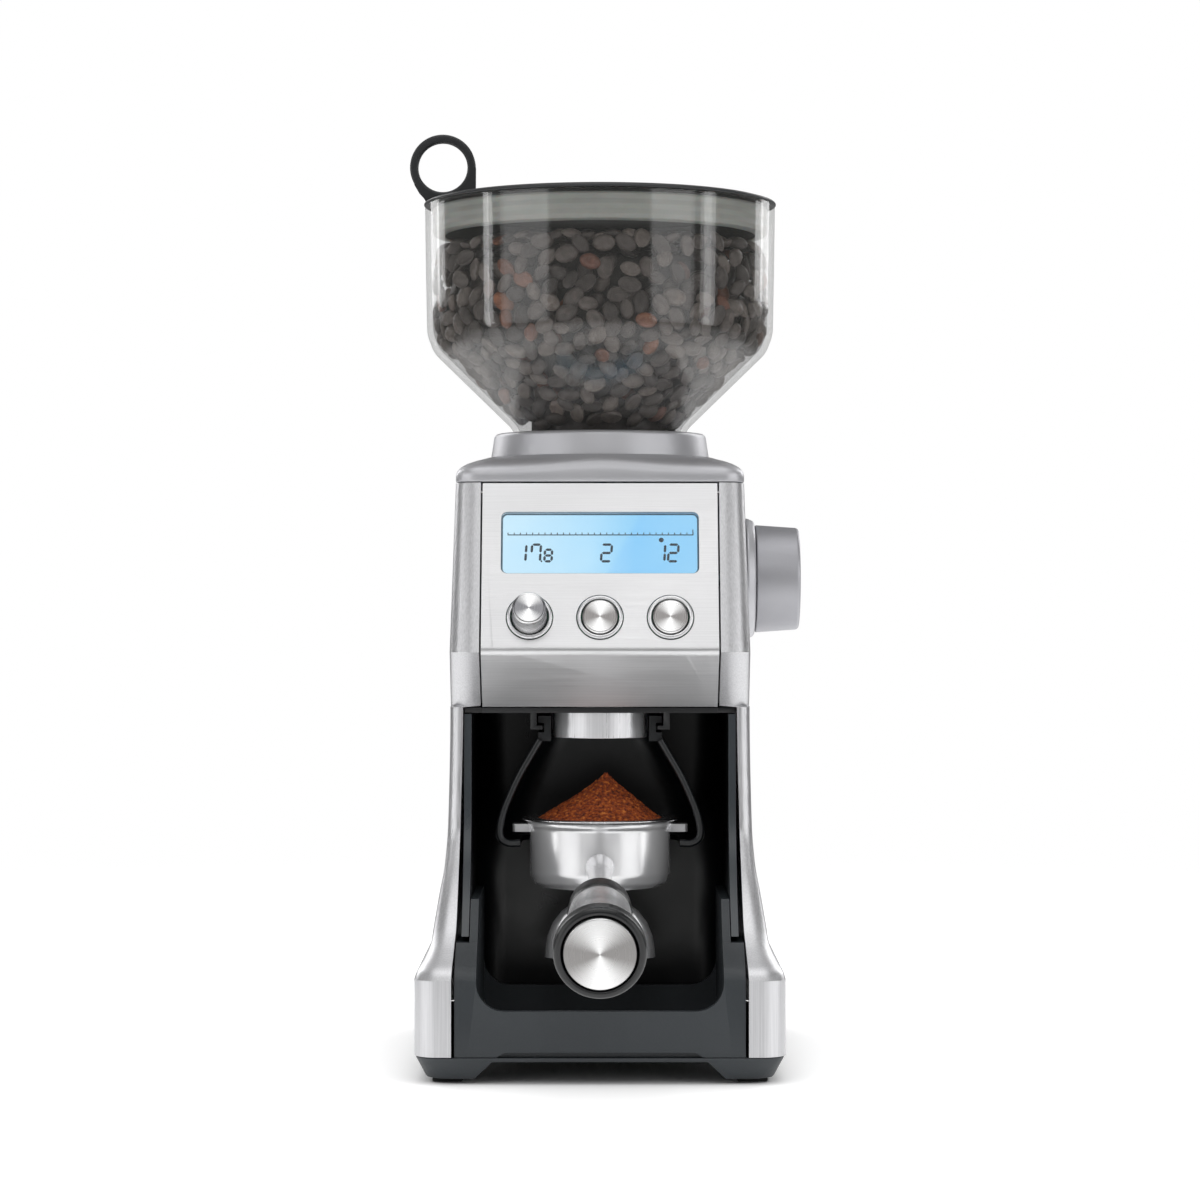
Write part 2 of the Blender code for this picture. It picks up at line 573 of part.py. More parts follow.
def gear_train():
    """Two-stage reduction under the burr chamber, and the motor with its pinion."""
    bore = [circle(4.4, 20)]
    half_tooth = 180 / FINAL_TEETH
    plate("final_gear", GEAR, gear_outline(FINAL_TEETH), 161, 169, "XY", bore, turn=(0, 0, half_tooth))
    small_phase = 90
    idler = plate("idler_gear", GEAR, gear_outline(IDLER_SMALL_TEETH), 160, 169, "XY",
                  [circle(3.4, 16)], at=(0, IDLER_Y, 0), turn=(0, 0, small_phase))
    large = plate("idler_large", None, gear_outline(IDLER_LARGE_TEETH), 152, 160.4, "XY",
                  [circle(3.4, 16)], at=(0, IDLER_Y, 0), turn=(0, 0, small_phase), cutter=True)
    combine(idler, large, "UNION")
    shaft = drum("motor_shaft", STEEL, 3.0, 148.2, 152.6, 16, at=(0, MOTOR_Y, 0))
    pinion = plate("motor_pinion", None, gear_outline(MOTOR_TEETH), 152.2, 160, "XY",
                   at=(0, MOTOR_Y, 0), turn=(0, 0, -90 + 180 / MOTOR_TEETH), cutter=True)
    combine(shaft, pinion, "UNION")

    outline = [(-31, -11.4), (31, -11.4), (31, 70), (-31, 70)]
    holes = [circle(4.4, 20), circle(3.4, 20, (0, MOTOR_Y))]
    deck = plate("gear_plate", STEEL, outline, 148.0, 151.0, "XY", holes)
    combine(deck, drum("idler_pin", None, 3.0, 150, 169.6, 16, at=(0, IDLER_Y, 0), cutter=True), "UNION")
    turned("motor_can", STEEL, [(0, 147.4), (24.0, 147.4), (25.0, 146), (25.0, 71), (24, 70), (0, 70)],
           24, at=(0, MOTOR_Y, 0))
    block("power_board", BOARD, (-42, 84, 30), (42, 85.6, 62))


def outlet():
    """Chute from the chamber's window down to the polished outlet tube."""
    low_circle = circle(17.0, 20, (0, SPOUT_Y))

    def rounded(half_x, front, back):
        """A rounded rectangle with the same number of points as the circle."""
        points = []
        middle = (front + back) / 2
        half_y = (back - front) / 2
        for step in range(20):
            angle = 2 * math.pi * step / 20
            x, y = math.cos(angle), math.sin(angle)
            stretch = 1 / max(abs(x), abs(y))
            points.append((half_x * x * (0.2 + 0.8 * stretch), middle + half_y * y * (0.2 + 0.8 * stretch)))
        return points

    sections = [(rounded(16, -51, -35), 187.5), (rounded(16, -51, -35), 172), (rounded(16, -51, -22.5), 160),
                (low_circle, 150.4)]
    chute = lofted("outlet_chute", BLACK, sections, closed=True, wall=1.3, cap_top=True)
    window = block("chute_window", None, (-12, -42, 175.4), (12, -34.4, 184.2), cutter=True)
    combine(chute, window, "DIFFERENCE")
    turned("outlet_tube", CHROME, [(18.0, 149.8), (20.0, 149.8), (20.0, 148.0), (19.3, 148.0), (19.3, 134.4),
                                   (18.0, 134.4)], 28, closed=True, at=(0, SPOUT_Y, 0))


# ---- bay furniture -------------------------------------------------------------------------
def cradle():
    """Sliding cradle: a curved shield with two fork arms that hook under the portafilter."""
    back = 4.6
    front = -44.0
    corner = 14.0
    shape = [(134.4, 25.6), (118.0, 34.8), (104.0, 40.9), (96.0, 42.9), (92.4, 42.2), (90.4, 39.4),
             (89.6, 32.8)]
    sections = []
    for z, half in shape:
        right = [(half, front)] + arc((half - corner, back - corner), corner, 0, 90, 6)
        sections.append((right + mirrored(right), z))
    shield = lofted("cradle", BLACK, sections, wall=2.2)
    for side in (-1, 1):
        low, high = sorted((20.2 * side, 25.4 * side))
        runner = block("cradle_runner", None, (low, front + 1, 133.0), (high, -8, 136.6), cutter=True)
        combine(shield, runner, "UNION")
        low, high = sorted((20.2 * side, 23.0 * side))
        web = block("cradle_web", None, (low, front + 1, 136.0), (high, -8, 141.6), cutter=True)
        combine(shield, web, "UNION")
        low, high = sorted((20.2 * side, 25.4 * side))
        hook = block("cradle_hook", None, (low, front + 1, 140.4), (high, -8, 143.4), cutter=True)
        combine(shield, hook, "UNION")


def start_switch():
    """Plunger in the back of the bay that the portafilter pushes, with its spring and switch."""
    turned("start_plunger", BLACK,
           [(0, 3.2), (3.2, 3.2), (4.0, 2.4), (4.0, -11.2), (6.4, -11.2), (6.4, -12.4), (2.2, -12.4),
            (2.2, -13.6), (0, -13.6)], 20, at=(0, 0, 82), turn=(90, 0, 0))
    turns = 3
    per_turn = 8
    coil_r = 4.2
    start_y, end_y = 13.4, 16.4
    points = []
    for step in range(turns * per_turn + 1):
        angle = 2 * math.pi * step / per_turn
        y = start_y + (end_y - start_y) * step / (turns * per_turn)
        points.append((coil_r * math.cos(angle), y, 82 + coil_r * math.sin(angle)))
    wire = bpy.data.curves.new("plunger_spring", "CURVE")
    wire.dimensions = "3D"
    wire.bevel_depth = 0.3 * MM
    wire.bevel_resolution = 1
    wire.use_fill_caps = True
    spline = wire.splines.new("POLY")
    spline.points.add(len(points) - 1)
    for knot, point in zip(spline.points, points):
        knot.co = (*(Vector(point) * MM), 1)
    spring = bpy.data.objects.new("plunger_spring", wire)
    PARTS.objects.link(spring)
    spring.parent = burr_axis
    wire.materials.append(STEEL)
    block("microswitch", BLACK, (-10, 17.2, 77), (10, 22.4, 87))


def grinds_tray():
    """Slide-out tray under the spout, its cheeks flush with the sloping front of the shells."""
    slope = [z for z in (70.5, 60.0, 54.0, 49.0, 44.0, FOOT_TOP)]
    edge = [(station(z)[1] + 1.2, z) for z in slope]
    body = plate("grinds_tray", CHARCOAL, [(-6, 11.3), (-6, 70.5)] + edge + [(edge[-1][0], 11.3)],
                 -52.1, 52.1, "YZ")
    low_edge = [point for point in edge if point[1] <= 54.0]
    cheeks = plate("tray_cheeks", None, [(-61, 10.9), (-61, 54.5), (low_edge[0][0] + 0.4, 54.5)] + low_edge[1:]
                   + [(edge[-1][0], 10.9)], -57.4, 57.4, "YZ", cutter=True)
    combine(body, cheeks, "UNION")
    half, floor_z, lip_z, radius = 48.8, 14.0, 29.0, 11.0
    hollow = (arc((-half + radius, floor_z + radius), radius, 180, 270, 5)
              + arc((half - radius, floor_z + radius), radius, 270, 360, 5) + [(half, 90), (-half, 90)])
    combine(body, plate("tray_hollow", None, hollow, -98.6, -9, "XZ", cutter=True), "DIFFERENCE")
    window = (arc((-half + radius, lip_z + radius), radius, 180, 270, 5)
              + arc((half - radius, lip_z + radius), radius, 270, 360, 5) + [(half, 91), (-half, 91)])
    combine(body, plate("tray_window", None, window, -120, 5, "XZ", cutter=True), "DIFFERENCE")
    arch = [(-44, 9), (44, 9), (37.5, 12.8), (-37.5, 12.8)]
    combine(body, plate("tray_arch", None, arch, -120, -100.4, "XZ", cutter=True), "DIFFERENCE")


# ---- portafilter ---------------------------------------------------------------------------
def portafilter():
    """Chromed portafilter with its basket, double spout and sloping handle, docked in the cradle."""
    rim_z = 99.9
    body = turned("portafilter_body", CHROME,
                  [(27.0, rim_z), (30.2, rim_z), (30.2, 98.2), (29.0, 97.4), (29.0, 78.0), (27.8, 74.4), (24.6, 72.6),
                   (4.0, 72.6), (4.0, 75.2), (23.6, 75.2), (27.0, 79.4)], 28, closed=True, at=(0, SPOUT_Y, 0))
    for side in (-1, 1):
        low, high = sorted((28.0 * side, 36.2 * side))
        ear = block("portafilter_ear", None, (low, SPOUT_Y - 5, 95.4), (high, SPOUT_Y + 5, 98.6), cutter=True)
        combine(body, ear, "UNION")
    neck = turned("portafilter_neck", None,
                  [(0, 63.6), (8.6, 63.6), (7.6, 54), (6.0, 40), (4.8, 22), (4.6, 10), (5.4, 2), (6.2, -3.0),
                   (0, -3.0)], 24, parent=handle_frame, cutter=True)
    combine(body, neck, "UNION")
    turned("filter_basket", STEEL,
           [(0, 80.8), (25.1, 81.6), (25.8, 101.3), (32.0, 101.4), (32.6, 100.8), (32.0, 100.2),
            (26.7, 100.2), (26.0, 80.6), (0, 79.8)], 28, at=(0, SPOUT_Y, 0))
    turned("handle_ferrule", CHROME,
           [(9.4, 124.4), (14.6, 124.4), (13.6, 112.0), (12.9, 98.0), (12.2, 80.4), (9.4, 80.4)],
           22, closed=True, parent=handle_frame)
    turned("portafilter_handle", BLACK,
           [(0, 134.6), (14.2, 134.6), (14.2, 137.7), (16.4, 137.7), (17.25, 136.5), (17.25, 129.0), (16.0, 124.8),
            (9.0, 124.8), (9.0, 80.0), (12.2, 80.0), (12.5, 77.0), (12.1, 66.4), (10.6, 64.0), (0, 64.0)],
           22, parent=handle_frame)
    turned("handle_end_disc", BRUSHED, [(0, 138.6), (13.2, 138.2), (13.6, 137.6), (13.6, 135.0), (0, 135.0)],
           22, parent=handle_frame)

    route = [(-18.2, 43.0), (-17.6, 50.0), (-15.0, 56.6), (-9.6, 61.6), (0, 63.6), (9.6, 61.6), (15.0, 56.6),
             (17.6, 50.0), (18.2, 43.0)]
    pipe = bpy.data.curves.new("spout_pipe", "CURVE")
    pipe.dimensions = "3D"
    pipe.bevel_depth = 4.8 * MM
    pipe.bevel_resolution = 3
    pipe.use_fill_caps = True
    spline = pipe.splines.new("POLY")
    spline.points.add(len(route) - 1)
    for knot, (x, z) in zip(spline.points, route):
        knot.co = (x * MM, 0, z * MM, 1)
    guide = bpy.data.objects.new("spout_pipe", pipe)
    bpy.context.scene.collection.objects.link(guide)
    ready = guide.evaluated_get(bpy.context.evaluated_depsgraph_get())
    work = bmesh.new()
    work.from_mesh(bpy.data.meshes.new_from_object(ready))
    bpy.data.objects.remove(guide, do_unlink=True)
    bmesh.ops.remove_doubles(work, verts=work.verts, dist=1e-6)
    bmesh.ops.recalc_face_normals(work, faces=work.faces)
    spout = place("portafilter_spout", mesh_from("portafilter_spout", work), CHROME, at=(0, SPOUT_Y, 0))
    stem = turned("spout_stem", None, [(0, 75.6), (3.7, 75.6), (3.7, 72.2), (7.0, 72.2), (7.0, 64.0), (0, 64.0)],
                  20, at=(0, SPOUT_Y, 0), cutter=True)
    combine(spout, stem, "UNION")


base()
casing()
bay()
top_of_head()
hopper()
front_panel()
controls()
grind_dial()
burrs()
gear_train()
outlet()
cradle()
start_switch()
grinds_tray()
portafilter()
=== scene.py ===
import math

import bmesh
import bpy
from mathutils import Matrix, Vector


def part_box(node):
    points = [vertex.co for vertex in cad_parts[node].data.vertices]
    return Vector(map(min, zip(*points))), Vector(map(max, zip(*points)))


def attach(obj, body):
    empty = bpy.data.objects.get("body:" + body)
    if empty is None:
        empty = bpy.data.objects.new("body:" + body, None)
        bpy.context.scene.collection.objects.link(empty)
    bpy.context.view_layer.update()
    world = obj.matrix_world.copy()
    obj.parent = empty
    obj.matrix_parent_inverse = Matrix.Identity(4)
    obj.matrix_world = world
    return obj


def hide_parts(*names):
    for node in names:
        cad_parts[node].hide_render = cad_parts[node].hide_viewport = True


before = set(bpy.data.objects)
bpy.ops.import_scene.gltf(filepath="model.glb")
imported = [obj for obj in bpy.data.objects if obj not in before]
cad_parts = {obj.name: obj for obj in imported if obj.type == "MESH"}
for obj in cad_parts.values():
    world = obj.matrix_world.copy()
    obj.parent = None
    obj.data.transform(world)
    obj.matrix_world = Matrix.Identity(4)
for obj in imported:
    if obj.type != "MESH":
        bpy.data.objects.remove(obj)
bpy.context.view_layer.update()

# ---- Camera ---------------------------------------------------------------------------------
# A long lens at the height of the grinding bay, level and square to the front of the machine.
# Sizes in this file are millimetres from the burr axis, which the burrs, collar and hopper share:
# x to the right, y to the back, z up from the worktop.
MM = 0.001
spindle_low, spindle_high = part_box("burr_spindle")
BURR_AXIS = Vector((0, (spindle_low.y + spindle_high.y) / 2, 0))
TO_WORLD = Matrix.Translation(BURR_AXIS) @ Matrix.Scale(MM, 4)


def linked(name, data):
    """A new object that holds the data, in the scene."""
    made = bpy.data.objects.new(name, data)
    bpy.context.scene.collection.objects.link(made)
    return made


def tipped(place, degrees, axis="X"):
    """A frame at a place, turned about one of its axes."""
    return Matrix.Translation(place) @ Matrix.Rotation(math.radians(degrees), 4, axis)


camera_stand_off = 1450
camera_height = 191
lens = bpy.data.cameras.new("front_camera")
lens.lens = 102.7
lens.sensor_width = 36
camera = linked("front_camera", lens)
camera.location = TO_WORLD @ Vector((0, -camera_stand_off, camera_height))
camera.rotation_euler = (math.radians(90), 0, 0)
bpy.context.scene.camera = camera
bpy.context.scene.view_settings.view_transform = "Standard"


# ---- Studio ---------------------------------------------------------------------------------
# A white sweep lit by a wide soft box and a narrow strip on each side, one box overhead and one
# above the camera.
# The room is white where it is looked at, and grey with darker flanks where metal mirrors it,
# which gives chrome and brushed steel their dark edges.
def node(tree, kind, settings=None, inputs=None):
    """Add one node with its settings, and link or set its inputs."""
    made = tree.nodes.new(kind)
    for name, value in (settings or {}).items():
        setattr(made, name, value)
    for socket, value in (inputs or {}).items():
        if isinstance(value, bpy.types.NodeSocket):
            tree.links.new(value, made.inputs[socket])
        else:
            made.inputs[socket].default_value = value
    return made


def srgb(code):
    """Linear colour of an sRGB hex value."""
    parts = [int(code[at:at + 2], 16) / 255 for at in (1, 3, 5)]
    return [part / 12.92 if part <= 0.04045 else ((part + 0.055) / 1.055) ** 2.4
            for part in parts] + [1.0]


def ramp(tree, factor, stops):
    """A colour ramp through (position, hex colour) stops."""
    made = node(tree, "ShaderNodeValToRGB", inputs={0: factor})
    points = made.color_ramp.elements
    while len(points) < len(stops):
        points.new(0.5)
    for point, (position, code) in zip(points, stops):
        point.position = position
        point.color = srgb(code)
    return made.outputs["Color"]


def blended(tree, share, one, other, mode="MULTIPLY"):
    """Two colours mixed, or multiplied together, by a share."""
    return node(tree, "ShaderNodeMix", {"data_type": "RGBA", "blend_type": mode},
                {0: share, 6: one, 7: other}).outputs[2]


def scaled_sum(tree, value, times, plus):
    """A value times one number plus another."""
    return node(tree, "ShaderNodeMath", {"operation": "MULTIPLY_ADD"},
                {0: value, 1: times, 2: plus}).outputs[0]


room = bpy.data.worlds.new("studio_room")
room.use_nodes = True
bpy.context.scene.world = room
tree = room.node_tree
tree.nodes.clear()
direction = node(tree, "ShaderNodeTexCoord").outputs["Generated"]
axes = node(tree, "ShaderNodeSeparateXYZ", inputs={0: direction})
sideways = node(tree, "ShaderNodeMath", {"operation": "ABSOLUTE"}, {0: axes.outputs["X"]})
flanks = ramp(tree, sideways.outputs[0],
              [(0.0, "#c4c4c4"), (0.35, "#d6d6d6"), (0.7, "#8a8a8a"), (1.0, "#5a5a5c")])
upwards = node(tree, "ShaderNodeMapRange", inputs={0: axes.outputs["Z"], 1: -0.6, 2: 0.9})
height_tone = ramp(tree, upwards.outputs[0],
                   [(0.0, "#d0d0d0"), (0.35, "#a9a9a9"), (0.6, "#e2e2e2"), (1.0, "#ffffff")])
mirrored_room = blended(tree, 1.0, flanks, height_tone)
mirrored_strength = 0.52
dim_room = node(tree, "ShaderNodeBackground", inputs={"Color": mirrored_room, "Strength": mirrored_strength})
white_room = node(tree, "ShaderNodeBackground", inputs={"Color": srgb("#ffffff"), "Strength": 1.0})
seen = node(tree, "ShaderNodeLightPath")
either = node(tree, "ShaderNodeMixShader", inputs={0: seen.outputs["Is Camera Ray"],
                                                   1: dim_room.outputs[0], 2: white_room.outputs[0]})
node(tree, "ShaderNodeOutputWorld", inputs={0: either.outputs[0]})


# Each box: its place and what it aims at, in metres from the foot of the burr axis, and its size.
SOFT_BOXES = [
    ("left_wide_box", (-1.22, -1.02, 0.5), 0.25, 0.95, 1.25, 5.6),
    ("left_strip", (-1.56, -0.33, 0.5), 0.25, 0.12, 1.25, 3.2),
    ("right_wide_box", (1.18, -1.06, 0.5), 0.25, 0.85, 1.25, 5.2),
    ("right_strip", (1.55, -0.42, 0.5), 0.25, 0.26, 1.25, 3.6),
    ("overhead_soft_box", (0, -0.25, 1.5), 0.2, 1.3, 1.1, 7),
    ("front_soft_box", (0, -1.75, 1.45), 0.2, 1.1, 0.6, 3.8),
    ("rear_left_soft_box", (-1.1, 1.2, 0.9), 0.2, 0.5, 1.0, 7),
    ("rear_right_soft_box", (1.1, 1.2, 0.9), 0.2, 0.5, 1.0, 7)]
for name, at, aim_height, width, height, watts in SOFT_BOXES:
    light = bpy.data.lights.new(name, "AREA")
    light.shape = "RECTANGLE"
    light.size = width
    light.size_y = height
    light.energy = watts
    lamp = linked(name, light)
    lamp.location = BURR_AXIS + Vector(at)
    lamp.rotation_euler = (Vector((0, 0, aim_height)) - Vector(at)).to_track_quat("-Z", "Y").to_euler()

sweep_mesh = bpy.data.meshes.new("studio_floor")
sweep = bmesh.new()
floor_radius, fade_start, fade_end, shadow_reach = 1.6, 0.32, 1.1, 0.11
bmesh.ops.create_circle(sweep, cap_ends=True, segments=96, radius=floor_radius,
                        matrix=Matrix.Translation(BURR_AXIS))
sweep.to_mesh(sweep_mesh)
sweep.free()
floor = linked("studio_floor", sweep_mesh)
paper = bpy.data.materials.new("white_studio_paper")
paper.use_nodes = True
tree = paper.node_tree
tree.nodes.clear()
spot = node(tree, "ShaderNodeTexCoord").outputs["Object"]
away = node(tree, "ShaderNodeVectorMath", {"operation": "DISTANCE"}, {0: spot, 1: BURR_AXIS})
fade = node(tree, "ShaderNodeMapRange", {"interpolation_type": "SMOOTHSTEP"},
            {0: away.outputs["Value"], 1: fade_start, 2: fade_end})
matt = node(tree, "ShaderNodeBsdfDiffuse", inputs={"Color": srgb("#e4e4e4")})
# The paper's glow is dimmed by ambient occlusion: a painted contact shadow under and around the machine, on top
# of its real shadow.
occlusion_for_painted_shadow = node(tree, "ShaderNodeAmbientOcclusion", inputs={"Distance": shadow_reach})
paper_glow = 0.72
glow_with_painted_shadow = node(tree, "ShaderNodeMapRange",
                inputs={0: occlusion_for_painted_shadow.outputs["AO"], 1: 0.15, 2: 0.95, 3: 0.0, 4: paper_glow})
glow = node(tree, "ShaderNodeEmission", inputs={"Color": srgb("#ffffff"), "Strength": glow_with_painted_shadow.outputs[0]})
lit = node(tree, "ShaderNodeAddShader", inputs={0: matt.outputs[0], 1: glow.outputs[0]})
gone = node(tree, "ShaderNodeBsdfTransparent")
sheet_end = node(tree, "ShaderNodeMixShader", inputs={0: fade.outputs[0], 1: lit.outputs[0],
                                                      2: gone.outputs[0]})
node(tree, "ShaderNodeOutputMaterial", inputs={0: sheet_end.outputs[0]})
sweep_mesh.materials.append(paper)


# ---- Base and rubber feet ---------------------------------------------------------------------
# The base is an injection moulded ABS tray with an arch between its feet, spark-textured by the
# mould. It stands on four small rubber pads pressed into it.
def finish(name):
    """A node material, its tree, its Principled shader and its Object coordinates."""
    made = bpy.data.materials.new(name)
    made.use_nodes = True
    tree = made.node_tree
    spot = node(tree, "ShaderNodeTexCoord").outputs["Object"]
    return made, tree, tree.nodes["Principled BSDF"], spot


def speckle(tree, spot, size_mm, stretch=(1, 1, 1), detail=3.0):
    """Noise whose spots are about size_mm wide, drawn out along the small values of stretch."""
    scaled = node(tree, "ShaderNodeMapping", inputs={0: spot, 3: Vector(stretch)})
    made = node(tree, "ShaderNodeTexNoise", inputs={"Vector": scaled.outputs[0],
                                                    "Scale": 1 / (size_mm * MM), "Detail": detail})
    return made.outputs["Fac"]


def spread(tree, factor, low, high, start=0.3, end=0.7):
    """Stretch a noise value between two numbers."""
    return node(tree, "ShaderNodeMapRange",
                inputs={0: factor, 1: start, 2: end, 3: low, 4: high}).outputs[0]


def tinted(tree, shader, factor, dark, light, start=0.3, end=0.7):
    """Colour a surface between two tones by a pattern."""
    tree.links.new(ramp(tree, factor, [(start, dark), (end, light)]), shader.inputs["Base Color"])


def roughened(tree, shader, factor, low, high, start=0.3, end=0.7):
    """Vary a surface's roughness between two values by a pattern."""
    tree.links.new(spread(tree, factor, low, high, start, end), shader.inputs["Roughness"])


def bumped(tree, shader, height, depth_mm, strength=1.0):
    """Raise a surface by a height pattern of a real depth."""
    made = node(tree, "ShaderNodeBump", inputs={"Strength": strength, "Distance": depth_mm * MM,
                                                "Height": height})
    tree.links.new(made.outputs[0], shader.inputs["Normal"])


def moulded(name, dark, light, roughness, grain_mm=0.7, depth_mm=0.03):
    """Spark-textured ABS: dull, very slightly mottled, with a fine even grain."""
    made, tree, shader, spot = finish(name)
    mottling = speckle(tree, spot, 45)
    tinted(tree, shader, mottling, dark, light)
    grain = speckle(tree, spot, grain_mm, detail=2.0)
    roughened(tree, shader, grain, roughness - 0.05, roughness + 0.07)
    shader.inputs["IOR"].default_value = 1.54
    bumped(tree, shader, grain, depth_mm)
    return made


charcoal_abs = moulded("charcoal_moulded_abs", "#24292d", "#2b3034", 0.46)
black_abs = moulded("black_moulded_abs", "#07080a", "#0b0c0f", 0.42)


def foot_rubber():
    """Moulded nitrile rubber: nearly black, dull, with a dusty bloom."""
    made, tree, shader, spot = finish("moulded_nitrile_rubber")
    bloom = speckle(tree, spot, 6)
    tinted(tree, shader, bloom, "#151515", "#242424", 0.35, 0.75)
    roughened(tree, shader, bloom, 0.7, 0.88)
    bumped(tree, shader, speckle(tree, spot, 0.8), 0.04)
    return made


rubber = foot_rubber()


def add_wall(piece, wall):
    """Give an open sheet its thickness, grown inwards."""
    step = piece.modifiers.new("wall", "SOLIDIFY")
    step.thickness = wall * MM
    step.offset = -1
    step.use_even_offset = True


def settle(name, mesh, material, body, slot, *stands_for, rounding=0.0, segments=3, wall=0.0, sharp=35):
    """Place a finished mesh on its body, with a wall's thickness and rounded edges where given."""
    made = linked(name, mesh)
    mesh.materials.clear()
    mesh.materials.append(material)
    mesh.shade_smooth()
    if wall:
        add_wall(made, wall)
    if rounding:
        edges = made.modifiers.new("rounded_edges", "BEVEL")
        edges.width = rounding * MM
        edges.segments = segments
        edges.limit_method = "ANGLE"
        edges.angle_limit = math.radians(sharp)
        edges.harden_normals = True
    else:
        mesh.set_sharp_from_angle(angle=math.radians(sharp))
    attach(made, body)
    if stands_for:
        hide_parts(*stands_for)
    return made


def to_mesh(name, work, turn=None):
    """Merge a bmesh in millimetres and put it in its place in the machine."""
    bmesh.ops.remove_doubles(work, verts=work.verts, dist=1e-4)
    made = bpy.data.meshes.new(name)
    work.to_mesh(made)
    work.free()
    made.transform(TO_WORLD @ (turn or Matrix.Identity(4)))
    return made


def merged_copy(cad_node):
    """A CAD node's mesh with its loose triangles merged and its flats made whole."""
    work = bmesh.new()
    work.from_mesh(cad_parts[cad_node].data)
    bmesh.ops.remove_doubles(work, verts=work.verts, dist=1e-6)
    bmesh.ops.dissolve_limit(work, angle_limit=math.radians(1), verts=work.verts, edges=work.edges)
    made = bpy.data.meshes.new(cad_node)
    work.to_mesh(made)
    work.free()
    return made


settle("moulded_base", merged_copy("base_plate"), charcoal_abs, "machine", "charcoal_plastic",
       "base_plate", rounding=0.5)
for corner in ("front_left", "front_right", "rear_left", "rear_right"):
    settle("rubber_pad_" + corner, merged_copy("foot_pad_" + corner), rubber, "machine", "foot_rubber",
           "foot_pad_" + corner, rounding=0.6)


# ---- Side shells ------------------------------------------------------------------------------
# Two pressed stainless panels that wrap round the front corners and the sides, swell out over the
# feet and stop at a seam on the back. Each is drawn 1.5 mm thick and brushed from top to bottom.
def brushed_steel(name, along, dark, light, roughness, line_mm=0.5, metallic=1.0):
    """Brushed stainless steel: short parallel scratches drawn out along one axis."""
    made, tree, shader, spot = finish(name)
    stretch = [1.0, 1.0, 1.0]
    stretch["xyz".index(along)] = 0.012
    lines = speckle(tree, spot, line_mm, stretch, 4.0)
    cloud = speckle(tree, spot, 30)
    tinted(tree, shader, scaled_sum(tree, lines, 0.8, 0.1), dark, light)
    drift = scaled_sum(tree, cloud, 0.3, lines)
    roughened(tree, shader, drift, roughness - 0.05, roughness + 0.07, 0.4, 0.9)
    shader.inputs["Metallic"].default_value = metallic
    # The scratches of a 180 grit belt are far finer: they are drawn 0.5 mm apart to show at all.
    bumped(tree, shader, lines, 0.006, 0.4)
    return made


steel_shell = brushed_steel("brushed_304_stainless_upright", "z", "#bdbdbf", "#d6d6d8", 0.38, 0.5, 0.85)

# height, half width, front, back, inner edge of the front return, front corner radius
SHELL_ROWS = [
    (239.0, 59.2, -52.0, 86.0, 48.6, 9.0), (170.0, 60.8, -76.0, 88.0, 48.6, 10.0),
    (147.9, 61.2, -54.4, 89.0, 48.6, 9.5), (147.3, 61.2, -54.0, 89.0, 55.9, 4.6),
    (100.0, 62.0, -56.0, 91.0, 56.8, 4.6), (84.0, 63.0, -63.5, 93.0, 57.1, 5.2),
    (72.0, 65.0, -71.0, 95.5, 57.3, 6.2), (60.0, 66.8, -81.0, 99.0, 57.5, 7.2),
    (54.0, 67.6, -88.0, 101.0, 57.9, 7.8), (49.0, 69.6, -95.0, 103.0, 58.2, 8.6),
    (44.0, 72.6, -102.0, 105.0, 58.5, 9.5), (41.0, 73.6, -104.0, 106.0, 58.6, 10.0),
    (11.0, 73.6, -104.0, 106.0, 58.6, 10.0)]
FIRST_CURVED, LAST_CURVED = 3, 10
SEAM_X = 37.0


def shell_row(height):
    """Half width, front, back, inner edge and corner radius of the casing at a height."""
    rows = SHELL_ROWS
    index = next(i for i in range(len(rows) - 1) if rows[i][0] >= height >= rows[i + 1][0])
    upper, lower = rows[index], rows[index + 1]
    share = (upper[0] - height) / (upper[0] - lower[0])
    if not FIRST_CURVED <= index <= LAST_CURVED:
        return [a + (b - a) * share for a, b in zip(upper[1:], lower[1:])]
    before = rows[max(index - 1, FIRST_CURVED)]
    after = rows[min(index + 2, LAST_CURVED + 1)]
    values = []
    for column in range(1, 6):
        span = upper[0] - lower[0]
        slope = (lower[column] - upper[column]) / span
        first = (upper[column] - before[column]) / max(before[0] - upper[0], 1) if index > FIRST_CURVED else 0.0
        last = (after[column] - lower[column]) / max(lower[0] - after[0], 1) if index < LAST_CURVED else slope
        start = 0.0 if first * slope <= 0 else 2 * first * slope / (first + slope)
        end = 0.0 if last * slope <= 0 else 2 * last * slope / (last + slope)
        t = share
        values.append((2 * t ** 3 - 3 * t ** 2 + 1) * upper[column] + (t ** 3 - 2 * t ** 2 + t) * span * start
                      + (3 * t ** 2 - 2 * t ** 3) * lower[column] + (t ** 3 - t ** 2) * span * end)
    return values


def arc(centre, radius, start_deg, end_deg, count):
    """Points along an arc, both ends included."""
    turns = [math.radians(start_deg + (end_deg - start_deg) * i / (count - 1)) for i in range(count)]
    return [(centre[0] + radius * math.cos(a), centre[1] + radius * math.sin(a)) for a in turns]


def shell_plan(height, inset=0.0):
    """Right half of the casing's plan: front return, corner, side and rounded back."""
    half, front, back, edge, corner = shell_row(height)
    half, front, back = half - inset, front + inset, back - inset
    rear = half - SEAM_X
    return ([(edge, front)] + arc((half - corner, front + corner), corner, -90, 0, 10)
            + [(half, front + corner + (back - rear - front - corner) * share) for share in (0.25, 0.5, 0.75)]
            + arc((half - rear, back - rear), rear, 0, 90, 16))


def bridge(work, first, second, closed=True):
    """Quads between two matching rows of points."""
    count = len(first)
    for here in range(count if closed else count - 1):
        ahead = (here + 1) % count
        work.faces.new((first[here], second[here], second[ahead], first[ahead]))


